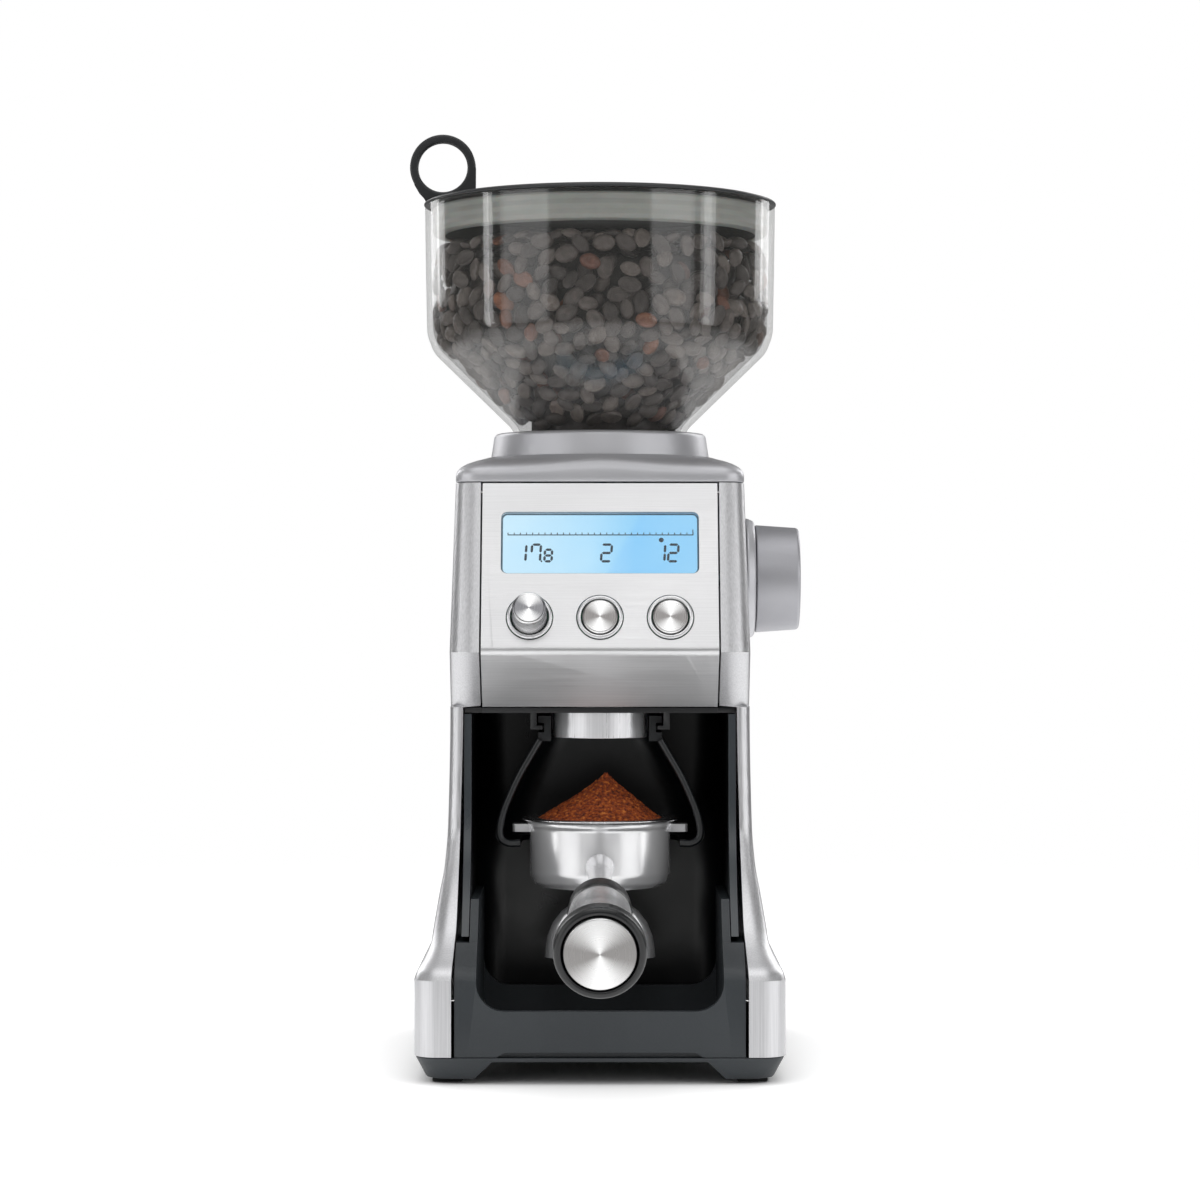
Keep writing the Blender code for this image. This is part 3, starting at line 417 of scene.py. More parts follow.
def skin(sections, closed=False):
    """Quads through (plan points, height) sections listed from the top down."""
    work = bmesh.new()
    rings = [[work.verts.new((x, y, height)) for x, y in points] for points, height in sections]
    for upper, lower in zip(rings, rings[1:]):
        bridge(work, upper, lower, closed)
    return work


def flipped(points):
    """The same points on the other side of the middle plane, in reverse order."""
    return [(-x, y) for x, y in reversed(points)]


def steps(start, end, count):
    """Evenly spaced heights, without the last."""
    return [start + (end - start) * i / count for i in range(count)]


shell_heights = (steps(239, 170, 12) + steps(170, 147.9, 6) + [147.9] + steps(147.3, 100, 10)
                 + steps(100, 41, 44) + [41.0] + steps(39.5, 11, 4) + [11.0])
right_plan = [(shell_plan(z), z) for z in shell_heights]
left_plan = [(flipped(points), z) for points, z in right_plan]
for side, plan in (("right", right_plan), ("left", left_plan)):
    settle(f"{side}_steel_shell", to_mesh(f"{side}_steel_shell", skin(plan)), steel_shell, "machine",
           "brushed_stainless", f"{side}_side_shell", wall=1.5, rounding=0.45, segments=2, sharp=24)


# ---- Rear shell, its vents, screws and cord gland -----------------------------------------------
# A painted steel back between the side shells, with eight cooling slots punched through it and
# four countersunk screws. The cord leaves through a moulded grommet low down.
def painted_metal(name, dark, light, roughness, metallic):
    """Fine bead-blasted metal under a thin satin lacquer."""
    made, tree, shader, spot = finish(name)
    cloud = speckle(tree, spot, 60)
    blast = speckle(tree, spot, 0.55, detail=2.0)
    tinted(tree, shader, cloud, dark, light)
    roughened(tree, shader, blast, roughness - 0.04, roughness + 0.06)
    shader.inputs["Metallic"].default_value = metallic
    bumped(tree, shader, blast, 0.02, 0.7)
    return made


satin_silver = painted_metal("bead_blasted_satin_aluminium", "#bcbcc0", "#c9c9cc", 0.42, 0.6)


def shaped(name, holder, *others):
    """The plain mesh of a working object with its modifiers; the working objects are removed."""
    bpy.context.view_layer.update()
    ready = holder.evaluated_get(bpy.context.evaluated_depsgraph_get())
    made = bpy.data.meshes.new_from_object(ready)
    made.name = name
    for each in (holder, *others):
        bpy.data.objects.remove(each)
    return made


def grow(name, start, tree, values):
    """The plain mesh that a geometry tree makes from a starting mesh."""
    holder = linked(name, start)
    step = holder.modifiers.new("grow", "NODES")
    step.node_group = tree
    for item in tree.interface.items_tree:
        if item.name in values:
            step[item.identifier] = values[item.name]
    return shaped(name, holder)


def geometry_tree(name, inputs):
    """An empty geometry tree with a Geometry input, the named inputs, and a Geometry output."""
    tree = bpy.data.node_groups.new(name, "GeometryNodeTree")
    tree.interface.new_socket("Geometry", in_out="INPUT", socket_type="NodeSocketGeometry")
    for label, kind in inputs.items():
        tree.interface.new_socket(label, in_out="INPUT", socket_type=kind)
    tree.interface.new_socket("Geometry", in_out="OUTPUT", socket_type="NodeSocketGeometry")
    given = node(tree, "NodeGroupInput").outputs
    return tree, given


def row_of_copies(name):
    """Geometry nodes: the starting mesh repeated along a straight line."""
    tree, given = geometry_tree(name, {"Count": "NodeSocketInt", "Offset": "NodeSocketVector",
                                       "Material": "NodeSocketMaterial"})
    line = node(tree, "GeometryNodeMeshLine", {"mode": "OFFSET"},
                {"Count": given["Count"], "Offset": given["Offset"]})
    copies = node(tree, "GeometryNodeInstanceOnPoints",
                  inputs={"Points": line.outputs[0], "Instance": given["Geometry"]})
    real = node(tree, "GeometryNodeRealizeInstances", inputs={0: copies.outputs[0]})
    coated = node(tree, "GeometryNodeSetMaterial",
                  inputs={0: real.outputs[0], "Material": given["Material"]})
    node(tree, "NodeGroupOutput", inputs={0: coated.outputs[0]})
    return tree


def prism(work, bottom, top):
    """Close two matching rings of points into a solid."""
    work.faces.new(bottom[::-1])
    work.faces.new(top)
    bridge(work, top, bottom)


def slab(outline, low, high, across="z"):
    """A flat outline extruded between two positions on the axis that it faces."""
    work = bmesh.new()
    put = {"z": lambda u, v, w: (u, v, w), "y": lambda u, v, w: (u, w, v),
           "x": lambda u, v, w: (w, u, v)}[across]
    prism(work, [work.verts.new(put(u, v, low)) for u, v in outline],
          [work.verts.new(put(u, v, high)) for u, v in outline])
    bmesh.ops.recalc_face_normals(work, faces=work.faces)
    return work


def welded(first, second, operation="UNION"):
    """One clean solid from two meshes, joined or cut."""
    kept, other = linked(first.name, first), linked(second.name, second)
    step = kept.modifiers.new("weld", "BOOLEAN")
    step.operation = operation
    step.object = other
    step.solver = "EXACT"
    return shaped(first.name, kept, other)


def joined(mesh, work, place=None):
    """The mesh with one more solid joined to it."""
    return welded(mesh, to_mesh("added", work, place))


def cut(mesh, work, place=None):
    """The mesh with the space of a solid taken out of it."""
    return welded(mesh, to_mesh("cutter", work, place), "DIFFERENCE")


def thickened(mesh, wall):
    """The same open sheet as a closed wall, grown inwards."""
    holder = linked(mesh.name, mesh)
    add_wall(holder, wall)
    return shaped(mesh.name, holder)


def spun(profile, sides=96, closed=False):
    """Turn (radius, height) points about the upright axis; the outer side runs from top to bottom."""
    work = bmesh.new()
    turns = [2 * math.pi * i / sides for i in range(sides)]
    rings = []
    for radius, height in profile:
        if radius < 1e-6:
            rings.append([work.verts.new((0, 0, height))])
        else:
            rings.append([work.verts.new((radius * math.cos(a), radius * math.sin(a), height)) for a in turns])
    pairs = list(zip(rings, rings[1:])) + ([(rings[-1], rings[0])] if closed else [])
    for upper, lower in pairs:
        if len(upper) == len(lower) == sides:
            bridge(work, upper, lower)
        elif len(upper) == sides or len(lower) == sides:
            for here in range(sides):
                ahead = (here + 1) % sides
                work.faces.new((upper[0], lower[here], lower[ahead]) if len(upper) == 1
                               else (upper[here], lower[0], upper[ahead]))
    return work


def turned(name, profile, sides, place, material, body, slot, *stands_for, closed=False, **edges):
    """A lathe-shaped piece: its profile spun, put in place and settled on its body."""
    mesh = to_mesh(name, spun(profile, sides, closed), place)
    settle(name, mesh, material, body, slot, *stands_for, **edges)


def eased(points, reach, count=4, closed=False):
    """The same line with each of its corners rounded off over a short reach."""
    line = [Vector(point) for point in points]
    made = []
    for index, corner in enumerate(line):
        if not closed and index in (0, len(line) - 1):
            made.append(tuple(corner))
            continue
        back, ahead = line[index - 1] - corner, line[(index + 1) % len(line)] - corner
        if math.pi - back.angle(ahead) < 0.1:
            made.append(tuple(corner))
            continue
        start = corner + back.normalized() * min(reach, back.length * 0.48)
        end = corner + ahead.normalized() * min(reach, ahead.length * 0.48)
        for step in range(count + 1):
            t = step / count
            made.append(tuple(start * (1 - t) ** 2 + corner * 2 * t * (1 - t) + end * t ** 2))
    return made


rear_half = SEAM_X - 0.6
rear_crown = 2.5
rear_rows = []
for z in steps(239, 170, 8) + steps(170, 147.9, 3) + steps(147.3, 41, 30) + [41.0, 26.0, 11.0]:
    across = [rear_half * (1 - step / 9) for step in range(19)]
    back = shell_row(z)[2]
    rear_rows.append(([(x, back + rear_crown * (1 - (x / rear_half) ** 2)) for x in across], z))
rear_wall = thickened(to_mesh("rear_steel_shell", skin(rear_rows)), 1.5)
slot_half, slot_radius, slot_low, slot_pitch, slot_count = 21.7, 1.3, 132, 7.5, 8
slot_line = (arc((-slot_half, slot_low), slot_radius, 90, 270, 9)
             + arc((slot_half, slot_low), slot_radius, -90, 90, 9))
slot_cutter = to_mesh("vent_slot", slab(slot_line, 82, 98, "y"))
vents = grow("vent_slots", slot_cutter, row_of_copies("row_of_vent_slots"),
             {"Count": slot_count, "Offset": (0, 0, slot_pitch * MM), "Material": satin_silver})
rear_wall = welded(rear_wall, vents, "DIFFERENCE")
gland_place = tipped((0, 0, 28), -90)
rear_wall = cut(rear_wall, spun([(0, 115), (6.4, 115), (6.4, 95), (0, 95)], 48), gland_place)
settle("rear_steel_shell", rear_wall, satin_silver, "machine", "satin_silver", "rear_shell",
       rounding=0.35, segments=2, sharp=30)

gland_profile = eased([(3.6, 111.4), (6.6, 111.4), (9.0, 109.8), (9.0, 108.9), (6.0, 108.9), (6.0, 101),
                       (3.6, 101)], 0.5, closed=True)
turned("cord_grommet", gland_profile, 48, gland_place, black_abs, "machine", "black_plastic",
       "cord_gland", closed=True)


def machined_steel(name, dark, light, roughness):
    """Turned or ground steel: bright, with faint tool lines."""
    made, tree, shader, spot = finish(name)
    lines = speckle(tree, spot, 0.8, (1.0, 1.0, 0.05))
    tinted(tree, shader, lines, dark, light)
    roughened(tree, shader, lines, roughness - 0.05, roughness + 0.08)
    shader.inputs["Metallic"].default_value = 1.0
    bumped(tree, shader, lines, 0.01, 0.5)
    return made


screw_steel = machined_steel("zinc_plated_screw_steel", "#77787a", "#a5a6a8", 0.32)


def screw_head(x, z):
    """A countersunk cross-head screw at a place on the rear shell, facing back."""
    y = shell_row(z)[2] + rear_crown * (1 - (x / rear_half) ** 2) - 0.15
    head_place = tipped((x, y, z), -90)
    head_line = eased([(0, 1.0), (2.0, 0.9), (3.1, 0.3), (3.1, -0.8), (0, -0.8)], 0.3)
    head = to_mesh("screw_head", spun(head_line, 32), head_place)
    for lean in (45, 135):
        cross = slab([(-1.7, -0.35), (1.7, -0.35), (1.7, 0.35), (-1.7, 0.35)], 0.25, 3)
        head = cut(head, cross, head_place @ tipped((0, 0, 0), lean, "Z"))
    return head


screw_low, screw_high = 60, 225
screw_pair = welded(screw_head(-30, screw_low), screw_head(30, screw_low))
screw_rise = (0, (shell_row(screw_high)[2] - shell_row(screw_low)[2]) * MM, (screw_high - screw_low) * MM)
rear_screws = grow("rear_shell_screws", screw_pair, row_of_copies("rows_of_screws"),
                   {"Count": 2, "Offset": screw_rise, "Material": screw_steel})
settle("rear_shell_screws", rear_screws, screw_steel, "machine", "hardened_steel")


# ---- Bay liner and head floor -------------------------------------------------------------------
# One glossy black moulding lines the grinding bay; a flat floor closes the head above it and
# carries the two rails that the cradle hangs from.
def bay_plastic():
    """Polished black ABS: smooth, with a soft sheen that picks up the side lights and a painted highlight on its
    front rim.
    """
    made, tree, shader, spot = finish("polished_black_abs")
    cloud = speckle(tree, spot, 20)
    depth = node(tree, "ShaderNodeSeparateXYZ", inputs={0: spot}).outputs["Y"]
    # The front rim of the black moulding is painted charcoal grey: a painted highlight where its front face
    # meets the lamps.
    painted_rim_light = spread(tree, depth, 0.0, 1.0, -0.0055, -0.0075)
    black = ramp(tree, cloud, [(0.3, "#050608"), (0.7, "#090a0d")])
    tree.links.new(blended(tree, painted_rim_light, black, srgb("#32373b"), "MIX"), shader.inputs["Base Color"])
    roughened(tree, shader, cloud, 0.26, 0.36)
    shader.inputs["IOR"].default_value = 1.54
    bumped(tree, shader, speckle(tree, spot, 9, detail=1.0), 0.05, 0.4)
    return made


gloss_black = bay_plastic()
liner_half, liner_back, liner_corner = 55.4, 11.0, 16.0
liner_fronts = [(144.5, -53.0), (120, -53.9), (100.0, -55.0), (86, -61.8), (72.0, -69.6), (64, -76.5),
                (56.6, -83.4), (55.6, -60.0), (11.3, -60.0)]
liner_rows = []
for z, front in liner_fronts:
    right = [(liner_half, front)] + arc((liner_half - liner_corner, liner_back - liner_corner),
                                        liner_corner, 0, 90, 14)
    liner_rows.append((right + flipped(right), z))
liner = thickened(to_mesh("bay_liner", skin(liner_rows)), 3.0)
plunger_place = tipped((0, 0, 82), 90)
liner = cut(liner, spun([(0, 0), (4.5, 0), (4.5, -20), (0, -20)], 48), plunger_place)
settle("bay_liner", liner, gloss_black, "machine", "black_plastic",
       "chassis_liner", rounding=0.5, segments=2, sharp=40)
settle("head_floor_plate", merged_copy("head_floor"), black_abs, "machine", "black_plastic", "head_floor",
       rounding=0.3, segments=2, sharp=40)
plunger_line = eased([(0, 3.2), (3.2, 3.2), (4.0, 2.4), (4.0, -11.2), (6.4, -11.2), (6.4, -12.4),
                      (2.2, -12.4), (2.2, -13.6), (0, -13.6)], 0.3)
turned("start_plunger_pin", plunger_line, 48, plunger_place, black_abs, "bay_plunger", "black_plastic",
       "start_plunger")


# ---- Top housing and hopper collar --------------------------------------------------------------
# A die-cast shoulder closes the head: its rim follows the casing and its crown rises to a round
# seat. The collar screwed to the seat takes the hopper's neck. Both are bead-blasted and lacquered.
housing_foot = 239.3
plan_corners = shell_plan(239) + flipped(shell_plan(239))
housing_angles = sorted({round(math.atan2(y, x), 4) for x, y in plan_corners}
                        | {round(math.radians(6 * step), 4) for step in range(-30, 30)})
rim_plan = shell_plan(239.0)[1:]
rim_plan = rim_plan + flipped(rim_plan)


def rim_reach(angle, inset):
    """Distance from the burr axis to the casing's rim in a direction."""
    ray = Vector((math.cos(angle), math.sin(angle)))
    best = 0.0
    for one, two in zip(rim_plan, rim_plan[1:] + rim_plan[:1]):
        start, along = Vector(one), Vector(two) - Vector(one)
        cross = ray.x * along.y - ray.y * along.x
        if abs(cross) < 1e-9:
            continue
        far = (start.x * along.y - start.y * along.x) / cross
        share = (start.x * ray.y - start.y * ray.x) / cross
        if far > 0 and -1e-6 <= share <= 1 + 1e-6:
            best = max(best, far)
    return best - inset


# inset from the rim, share of the way to the circle, radius of that circle, rise
SHOULDER_RINGS = [
    (0, 1, 38.2, 7.9), (0, 1, 46.5, 7.9), (0, 1, 46.7, 11.3), (0, 1, 47.1, 11.7), (0, 0.93, 47.0, 11.5),
    (0, 0.8, 47.0, 11.0), (0, 0.6, 47.0, 10.2), (0, 0.4, 47.0, 9.2), (0, 0.22, 47.0, 7.8),
    (0, 0.1, 47.0, 6.3), (0, 0.035, 47.0, 4.9), (0.1, 0, 0, 3.6), (0, 0, 0, 2.4), (0, 0, 0, 0.5),
    (0.25, 0, 0, 0.0)]
shoulder = []
for inset, share, radius, rise in SHOULDER_RINGS:
    reaches = [rim_reach(a, inset) * (1 - share) + radius * share for a in housing_angles]
    ring = [(reach * math.cos(a), reach * math.sin(a)) for reach, a in zip(reaches, housing_angles)]
    shoulder.append((ring, housing_foot + rise))
settle("top_housing_shoulder", to_mesh("top_housing_shoulder", skin(shoulder, closed=True)), satin_silver,
       "machine", "satin_silver", "top_housing", wall=2.0, sharp=40)
collar_line = eased([(37.5, 261.0), (43.6, 261.0), (44.7, 260.0), (46.3, 249.5), (46.3, 247.7),
                     (37.5, 247.7)], 0.7, closed=True)
turned("hopper_seat_collar", collar_line, 128, None, satin_silver, "machine", "satin_silver",
       "hopper_collar", closed=True, sharp=60)


# ---- Front panel --------------------------------------------------------------------------------
# One folded stainless sheet, brushed from side to side, that slopes back above the fold and tucks
# under the head below it. It is punched for the display window and for the three controls.
steel_panel = brushed_steel("brushed_304_stainless_level", "x", "#d4d4d5", "#e2e2e3", 0.34, 0.45, 0.8)
panel_half = 47.9
head_front, head_top, fold_run, fold_drop = -52.0, 239.0, 24.0, 69.0
slope_deg = math.degrees(math.atan2(fold_drop, fold_run))
control_z = 184.0
control_y = head_front - fold_run * (head_top - control_z) / fold_drop
PANEL = tipped((0, control_y, control_z), slope_deg)
control_pitch, control_hole = 28.4, 9.6
panel_top = 238.7
panel_line = eased([(head_front, panel_top), (-75.95, 170.1), (-54.6, 147.5)], 2.2, 8)
top_reach = (panel_top - control_z) / math.sin(math.radians(slope_deg))


def along_panel(v):
    """Point on the folded panel's outer face at a distance v above the controls."""
    left = top_reach - v
    for one, two in zip(panel_line, panel_line[1:]):
        length = math.dist(one, two)
        if left <= length or two == panel_line[-1]:
            share = left / length
            return one[0] + (two[0] - one[0]) * share, one[1] + (two[1] - one[1]) * share
        left -= length


def flat_sheet(name, outline, holes):
    """A filled flat outline with holes."""
    curve = bpy.data.curves.new(name, "CURVE")
    curve.dimensions = "2D"
    curve.fill_mode = "BOTH"
    for points in (outline, *holes):
        line = curve.splines.new("POLY")
        line.points.add(len(points) - 1)
        for knot, (u, v) in zip(line.points, points):
            knot.co = (u, v, 0, 1)
        line.use_cyclic_u = True
    work = bmesh.new()
    work.from_mesh(shaped(name, linked(name, curve)))
    bmesh.ops.remove_doubles(work, verts=work.verts, dist=1e-4)
    return work


def rounded_rectangle(low_u, low_v, high_u, high_v, radius, count=8):
    """Corner-rounded outline, anticlockwise."""
    left, right = low_u + radius, high_u - radius
    bottom, top = low_v + radius, high_v - radius
    corners = [((right, bottom), -90), ((right, top), 0), ((left, top), 90), ((left, bottom), 180)]
    return [point for corner, start in corners for point in arc(corner, radius, start, start + 90, count)]


panel_length = sum(math.dist(one, two) for one, two in zip(panel_line, panel_line[1:]))
panel_outline = [(-panel_half, top_reach - panel_length), (panel_half, top_reach - panel_length),
                 (panel_half, top_reach), (-panel_half, top_reach)]
display_opening = rounded_rectangle(-40.2, 18.8, 40.2, 45.4, 2.6)
punched = [display_opening] + [arc((place * control_pitch, 0), control_hole, 0, 354.375, 64)
                               for place in (-1, 0, 1)]
sheet = flat_sheet("front_panel_blank", panel_outline, punched)
run = 0.0
for one, two in zip(panel_line, panel_line[1:]):
    run += math.dist(one, two)
    bmesh.ops.bisect_plane(sheet, geom=sheet.verts[:] + sheet.edges[:] + sheet.faces[:],
                           plane_co=(0, top_reach - run, 0), plane_no=(0, 1, 0), dist=1e-5)
for corner in sheet.verts:
    y, z = along_panel(corner.co.y)
    corner.co = (corner.co.x, y, z)
bmesh.ops.dissolve_limit(sheet, angle_limit=math.radians(0.5), verts=sheet.verts, edges=sheet.edges)
bmesh.ops.recalc_face_normals(sheet, faces=sheet.faces)
if sum(face.normal.y * face.calc_area() for face in sheet.faces) > 0:
    bmesh.ops.reverse_faces(sheet, faces=sheet.faces)
settle("folded_front_panel", to_mesh("folded_front_panel", sheet), steel_panel, "machine",
       "brushed_stainless", "front_panel", wall=1.4, rounding=0.3, segments=2, sharp=35)


# ---- Display ------------------------------------------------------------------------------------
# A backlit liquid crystal module behind a polished acrylic window. Its glow is paler on the left and deeper blue
# to the right, with a painted slanting sheen; the numbers and the scale are dark segments just above the glass.
def backlight():
    """Lit display: pale blue that deepens to the right, with a painted slanting sheen across it."""
    made, tree, shader, spot = finish("backlit_liquid_crystal")
    across = node(tree, "ShaderNodeSeparateXYZ", inputs={0: spot})
    level = spread(tree, across.outputs["X"], 0.0, 1.0, -0.040, 0.040)
    tint = ramp(tree, level, [(0.0, "#c9ebfc"), (0.45, "#b2e1fb"), (0.68, "#8fd1f7"), (1.0, "#9bd6f6")])
    # Past a slanting line the glow is tinted another tone: a painted sheen that stands in for light on the
    # window.
    rise = scaled_sum(tree, across.outputs["Z"], -0.55, across.outputs["X"])
    past_painted_sheen_line = node(tree, "ShaderNodeMapRange", {"interpolation_type": "SMOOTHSTEP"},
                  {0: rise, 1: -0.1095, 2: -0.1060})
    tint_with_painted_sheen = blended(tree, past_painted_sheen_line.outputs[0], tint, srgb("#f0f8ff"))
    edge = speckle(tree, spot, 14)
    patchy = blended(tree, spread(tree, edge, 0.0, 0.25), tint_with_painted_sheen, srgb("#e3f1fb"))
    tinted(tree, shader, edge, "#1d2c36", "#263743")
    tree.links.new(patchy, shader.inputs["Emission Color"])
    shader.inputs["Emission Strength"].default_value = 0.96
    roughened(tree, shader, edge, 0.3, 0.4)
    return made


def acrylic_window():
    """Clear cast acrylic: polished, almost invisible but for its reflection."""
    made, tree, shader, spot = finish("polished_clear_acrylic")
    facing = node(tree, "ShaderNodeLayerWeight", inputs={"Blend": 0.25})
    tree.links.new(spread(tree, facing.outputs["Fresnel"], 0.03, 0.4, 0.0, 1.0), shader.inputs["Alpha"])
    tinted(tree, shader, speckle(tree, spot, 30), "#dff0fa", "#e8f5fc")
    roughened(tree, shader, speckle(tree, spot, 18), 0.05, 0.1)
    shader.inputs["IOR"].default_value = 1.49
    return made


def liquid_crystal():
    """Switched segments: blue-black, softly matt."""
    made, tree, shader, spot = finish("dark_liquid_crystal_segment")
    tinted(tree, shader, speckle(tree, spot, 2), "#081522", "#0d1d2e")
    roughened(tree, shader, speckle(tree, spot, 3), 0.4, 0.5)
    return made


display_glass, window_glass, segment_ink = backlight(), acrylic_window(), liquid_crystal()
module = slab(rounded_rectangle(-43, 16.5, 43, 47.5, 1.5), -8.0, -2.0)
settle("display_module", to_mesh("display_module", module, PANEL), display_glass, "machine",
       "circuit_board", "lcd_module", rounding=0.25, segments=2)
window = slab(rounded_rectangle(-39.9, 19.1, 39.9, 45.1, 2.4), -1.5, -0.35)
settle("display_window", to_mesh("display_window", window, PANEL), window_glass, "machine",
       "display_glass", "display_lens", rounding=0.2, segments=2)

SEGMENTS = {"1": "bc", "2": "abged", "7": "abcf", "8": "abcdefg"}
# Where each segment runs, in widths across and half heights up.
SEGMENT_ENDS = {"a": ((0, 2), (1, 2)), "b": ((1, 1), (1, 2)), "c": ((1, 0), (1, 1)), "d": ((0, 0), (1, 0)),
                "e": ((0, 0), (0, 1)), "f": ((0, 1), (0, 2)), "g": ((0, 1), (1, 1))}
ink = (-1.98, -1.86)


def number(work, figure, left, low, height, width, stroke=1.0):
    """One slanted seven-segment figure, drawn as thin plates."""
    lean, segment_gap = math.tan(math.radians(3.5)), 0.16
    middle = height / 2
    for label in SEGMENTS[figure]:
        start, end = (Vector((u * width, v * middle)) for u, v in SEGMENT_ENDS[label])
        way = (end - start).normalized()
        side = Vector((-way.y, way.x)) * stroke / 2
        start, end = start + way * segment_gap, end - way * segment_gap
        tip = way * stroke / 2
        rim = [start, start + tip - side, end - tip - side, end, end - tip + side, start + tip + side]
        flat = [(left + p.x + p.y * lean, low + p.y) for p in rim]
        prism(work, *[[work.verts.new((u, v, level)) for u, v in flat] for level in ink])


figures = bmesh.new()
figure_low, tick_count, tick_pitch = 24.7, 31, 2.51
for figure, left, rise, width in (("1", -33.9, 7.2, 3.6), ("7", -28.0, 7.2, 3.6), ("8", -22.6, 5.0, 2.9),
                                  ("2", 0.4, 7.2, 4.0), ("1", 22.1, 7.2, 4.0), ("2", 27.6, 7.2, 3.9)):
    number(figures, figure, left, figure_low, rise, width)
point_plate = slab(rounded_rectangle(-24.1, 24.4, -23.4, 25.1, 0.3, 4), *ink)
pointer_plate = slab(arc((24.9, 33.9), 1.0, 0, 350, 36), *ink)
rule_plate = slab([(-37.6, 36.3), (37.6, 36.3), (37.6, 38.4), (38.0, 38.4), (38.0, 35.9), (-37.6, 35.9)], *ink)
one_tick = slab([(-37.6, 36.2), (-37.25, 36.2), (-37.25, 37.1), (-37.6, 37.1)], *ink)
ticks = grow("scale_ticks", to_mesh("one_tick", one_tick, PANEL), row_of_copies("row_of_ticks"),
             {"Count": tick_count, "Offset": (tick_pitch * MM, 0, 0), "Material": segment_ink})
settle("display_scale_ticks", ticks, segment_ink, "machine", "display_glass")
border = cut(to_mesh("display_border", slab(display_opening, -1.97, -1.75), PANEL),
             slab(rounded_rectangle(-39.5, 19.5, 39.5, 44.7, 2.0), -2.5, -1.0), PANEL)
border_paint = moulded("slate_blue_border_paint", "#3c5665", "#46606f", 0.5)
settle("display_border", border, border_paint, "machine", "display_glass")
for name, work in {"display_figures": figures, "display_point": point_plate,
                   "display_pointer": pointer_plate, "display_rule": rule_plate}.items():
    settle(name, to_mesh(name, work, PANEL), segment_ink, "machine", "display_glass")


# ---- Bezels, buttons and amount knob --------------------------------------------------------------
# Each control sits in a bright chromed ring. The two push buttons have spun faces with a bow-tie of light
# painted into their colour; the amount knob is a taller turned cap, painted the same way, that pushes and turns.
def spun_metal_with_painted_bowtie(name, place, dark, light, roughness, painted_bowtie_lean_deg):
    """Face-turned stainless: rings too fine to see in its roughness and bump, and a bow-tie highlight fanning
    out from the centre painted into its colour.
    """
    made, tree, shader, spot = finish(name)
    centred = node(tree, "ShaderNodeVectorMath", {"operation": "SUBTRACT"},
                   {0: spot, 1: (TO_WORLD @ place).translation})
    turn = place.to_3x3().inverted().to_euler()
    local = node(tree, "ShaderNodeMapping", {"vector_type": "POINT"},
                 {0: centred.outputs[0], 2: turn})
    axes = node(tree, "ShaderNodeSeparateXYZ", inputs={0: local.outputs[0]})
    angle = node(tree, "ShaderNodeMath", {"operation": "ARCTAN2"}, {0: axes.outputs["Y"], 1: axes.outputs["X"]})
    # The bow-tie is a painted highlight: the colour runs light and dark by angle about the centre, twice round,
    # turned by the given lean.
    painted_bowtie_angle = scaled_sum(tree, angle.outputs[0], 2.0, math.radians(painted_bowtie_lean_deg))
    wave = node(tree, "ShaderNodeMath", {"operation": "SINE"}, {0: painted_bowtie_angle})
    flat = node(tree, "ShaderNodeCombineXYZ", inputs={"X": axes.outputs["X"], "Y": axes.outputs["Y"]})
    radius = node(tree, "ShaderNodeVectorMath", {"operation": "LENGTH"}, {0: flat.outputs[0]})
    rings = node(tree, "ShaderNodeTexNoise", {"noise_dimensions": "1D"},
                 {"W": radius.outputs["Value"], "Scale": 2400.0, "Detail": 2.0})
    rings_and_painted_bowtie = scaled_sum(tree, rings.outputs["Fac"], 0.2, scaled_sum(tree, wave.outputs[0], 0.42, 0.3))
    tinted(tree, shader, rings_and_painted_bowtie, dark, light, 0.05, 0.95)
    roughened(tree, shader, rings.outputs["Fac"], roughness - 0.05, roughness + 0.1)
    shader.inputs["Metallic"].default_value = 1.0
    bumped(tree, shader, rings.outputs["Fac"], 0.01, 0.35)
    return made


def plated_chrome(name, roughness, metallic):
    """Nickel-chrome plate: smooth, with faint waviness from the casting."""
    made, tree, shader, spot = finish(name)
    wave = speckle(tree, spot, 16, detail=1.0)
    tinted(tree, shader, wave, "#dedee0", "#ebebec")
    roughened(tree, shader, wave, roughness, roughness + 0.06)
    shader.inputs["Metallic"].default_value = metallic
    bumped(tree, shader, wave, 0.04, 0.3)
    return made


satin_chrome = plated_chrome("satin_nickel_chrome_plate", 0.2, 0.62)
bezel_line = eased([(7.7, 0.9), (8.1, 1.25), (8.9, 1.1), (9.2, 0.5), (9.2, 0.3), (8.2, 0.3), (8.2, -4),
                    (7.7, -4)], 0.25, 3, closed=True)
button_line = eased([(0, 1.5), (6.6, 1.5), (7.2, 1.0), (7.2, -3.6), (2.4, -3.6), (2.4, -10.6), (0, -10.6)],
                    0.35)
knob_line = eased([(0, 12.2), (6.2, 12.2), (6.8, 11.5), (6.6, 8.0), (6.7, 5.0), (7.3, 1.2), (7.3, -2.6),
                   (3.3, -2.6), (3.3, 8.0), (0, 8.0)], 0.5)
# The knob cap and the button faces carry a painted bow-tie highlight in their colour.
for place, name in {-1: "amount", 0: "cups", 1: "start"}.items():
    spot_on_panel = PANEL @ Matrix.Translation((place * control_pitch, 0, 0))
    turned(name + "_chrome_ring", bezel_line, 96, spot_on_panel, satin_chrome, "machine", "chrome",
           name + "_bezel", closed=True)
    if place < 0:
        cap_steel = spun_metal_with_painted_bowtie("turned_stainless_knob", spot_on_panel, "#7d7d80", "#f6f6f6", 0.26, -80)
        turned("amount_knob_cap", knob_line, 96, spot_on_panel, cap_steel, "amount_cap",
               "hardened_steel", "amount_knob")
    else:
        face_steel = spun_metal_with_painted_bowtie(f"spun_stainless_{name}_face", spot_on_panel, "#8c8988", "#ffffff", 0.3, -80)
        turned(name + "_button_face", button_line, 96, spot_on_panel, face_steel, name + "_key",
               "hardened_steel", name + "_button")


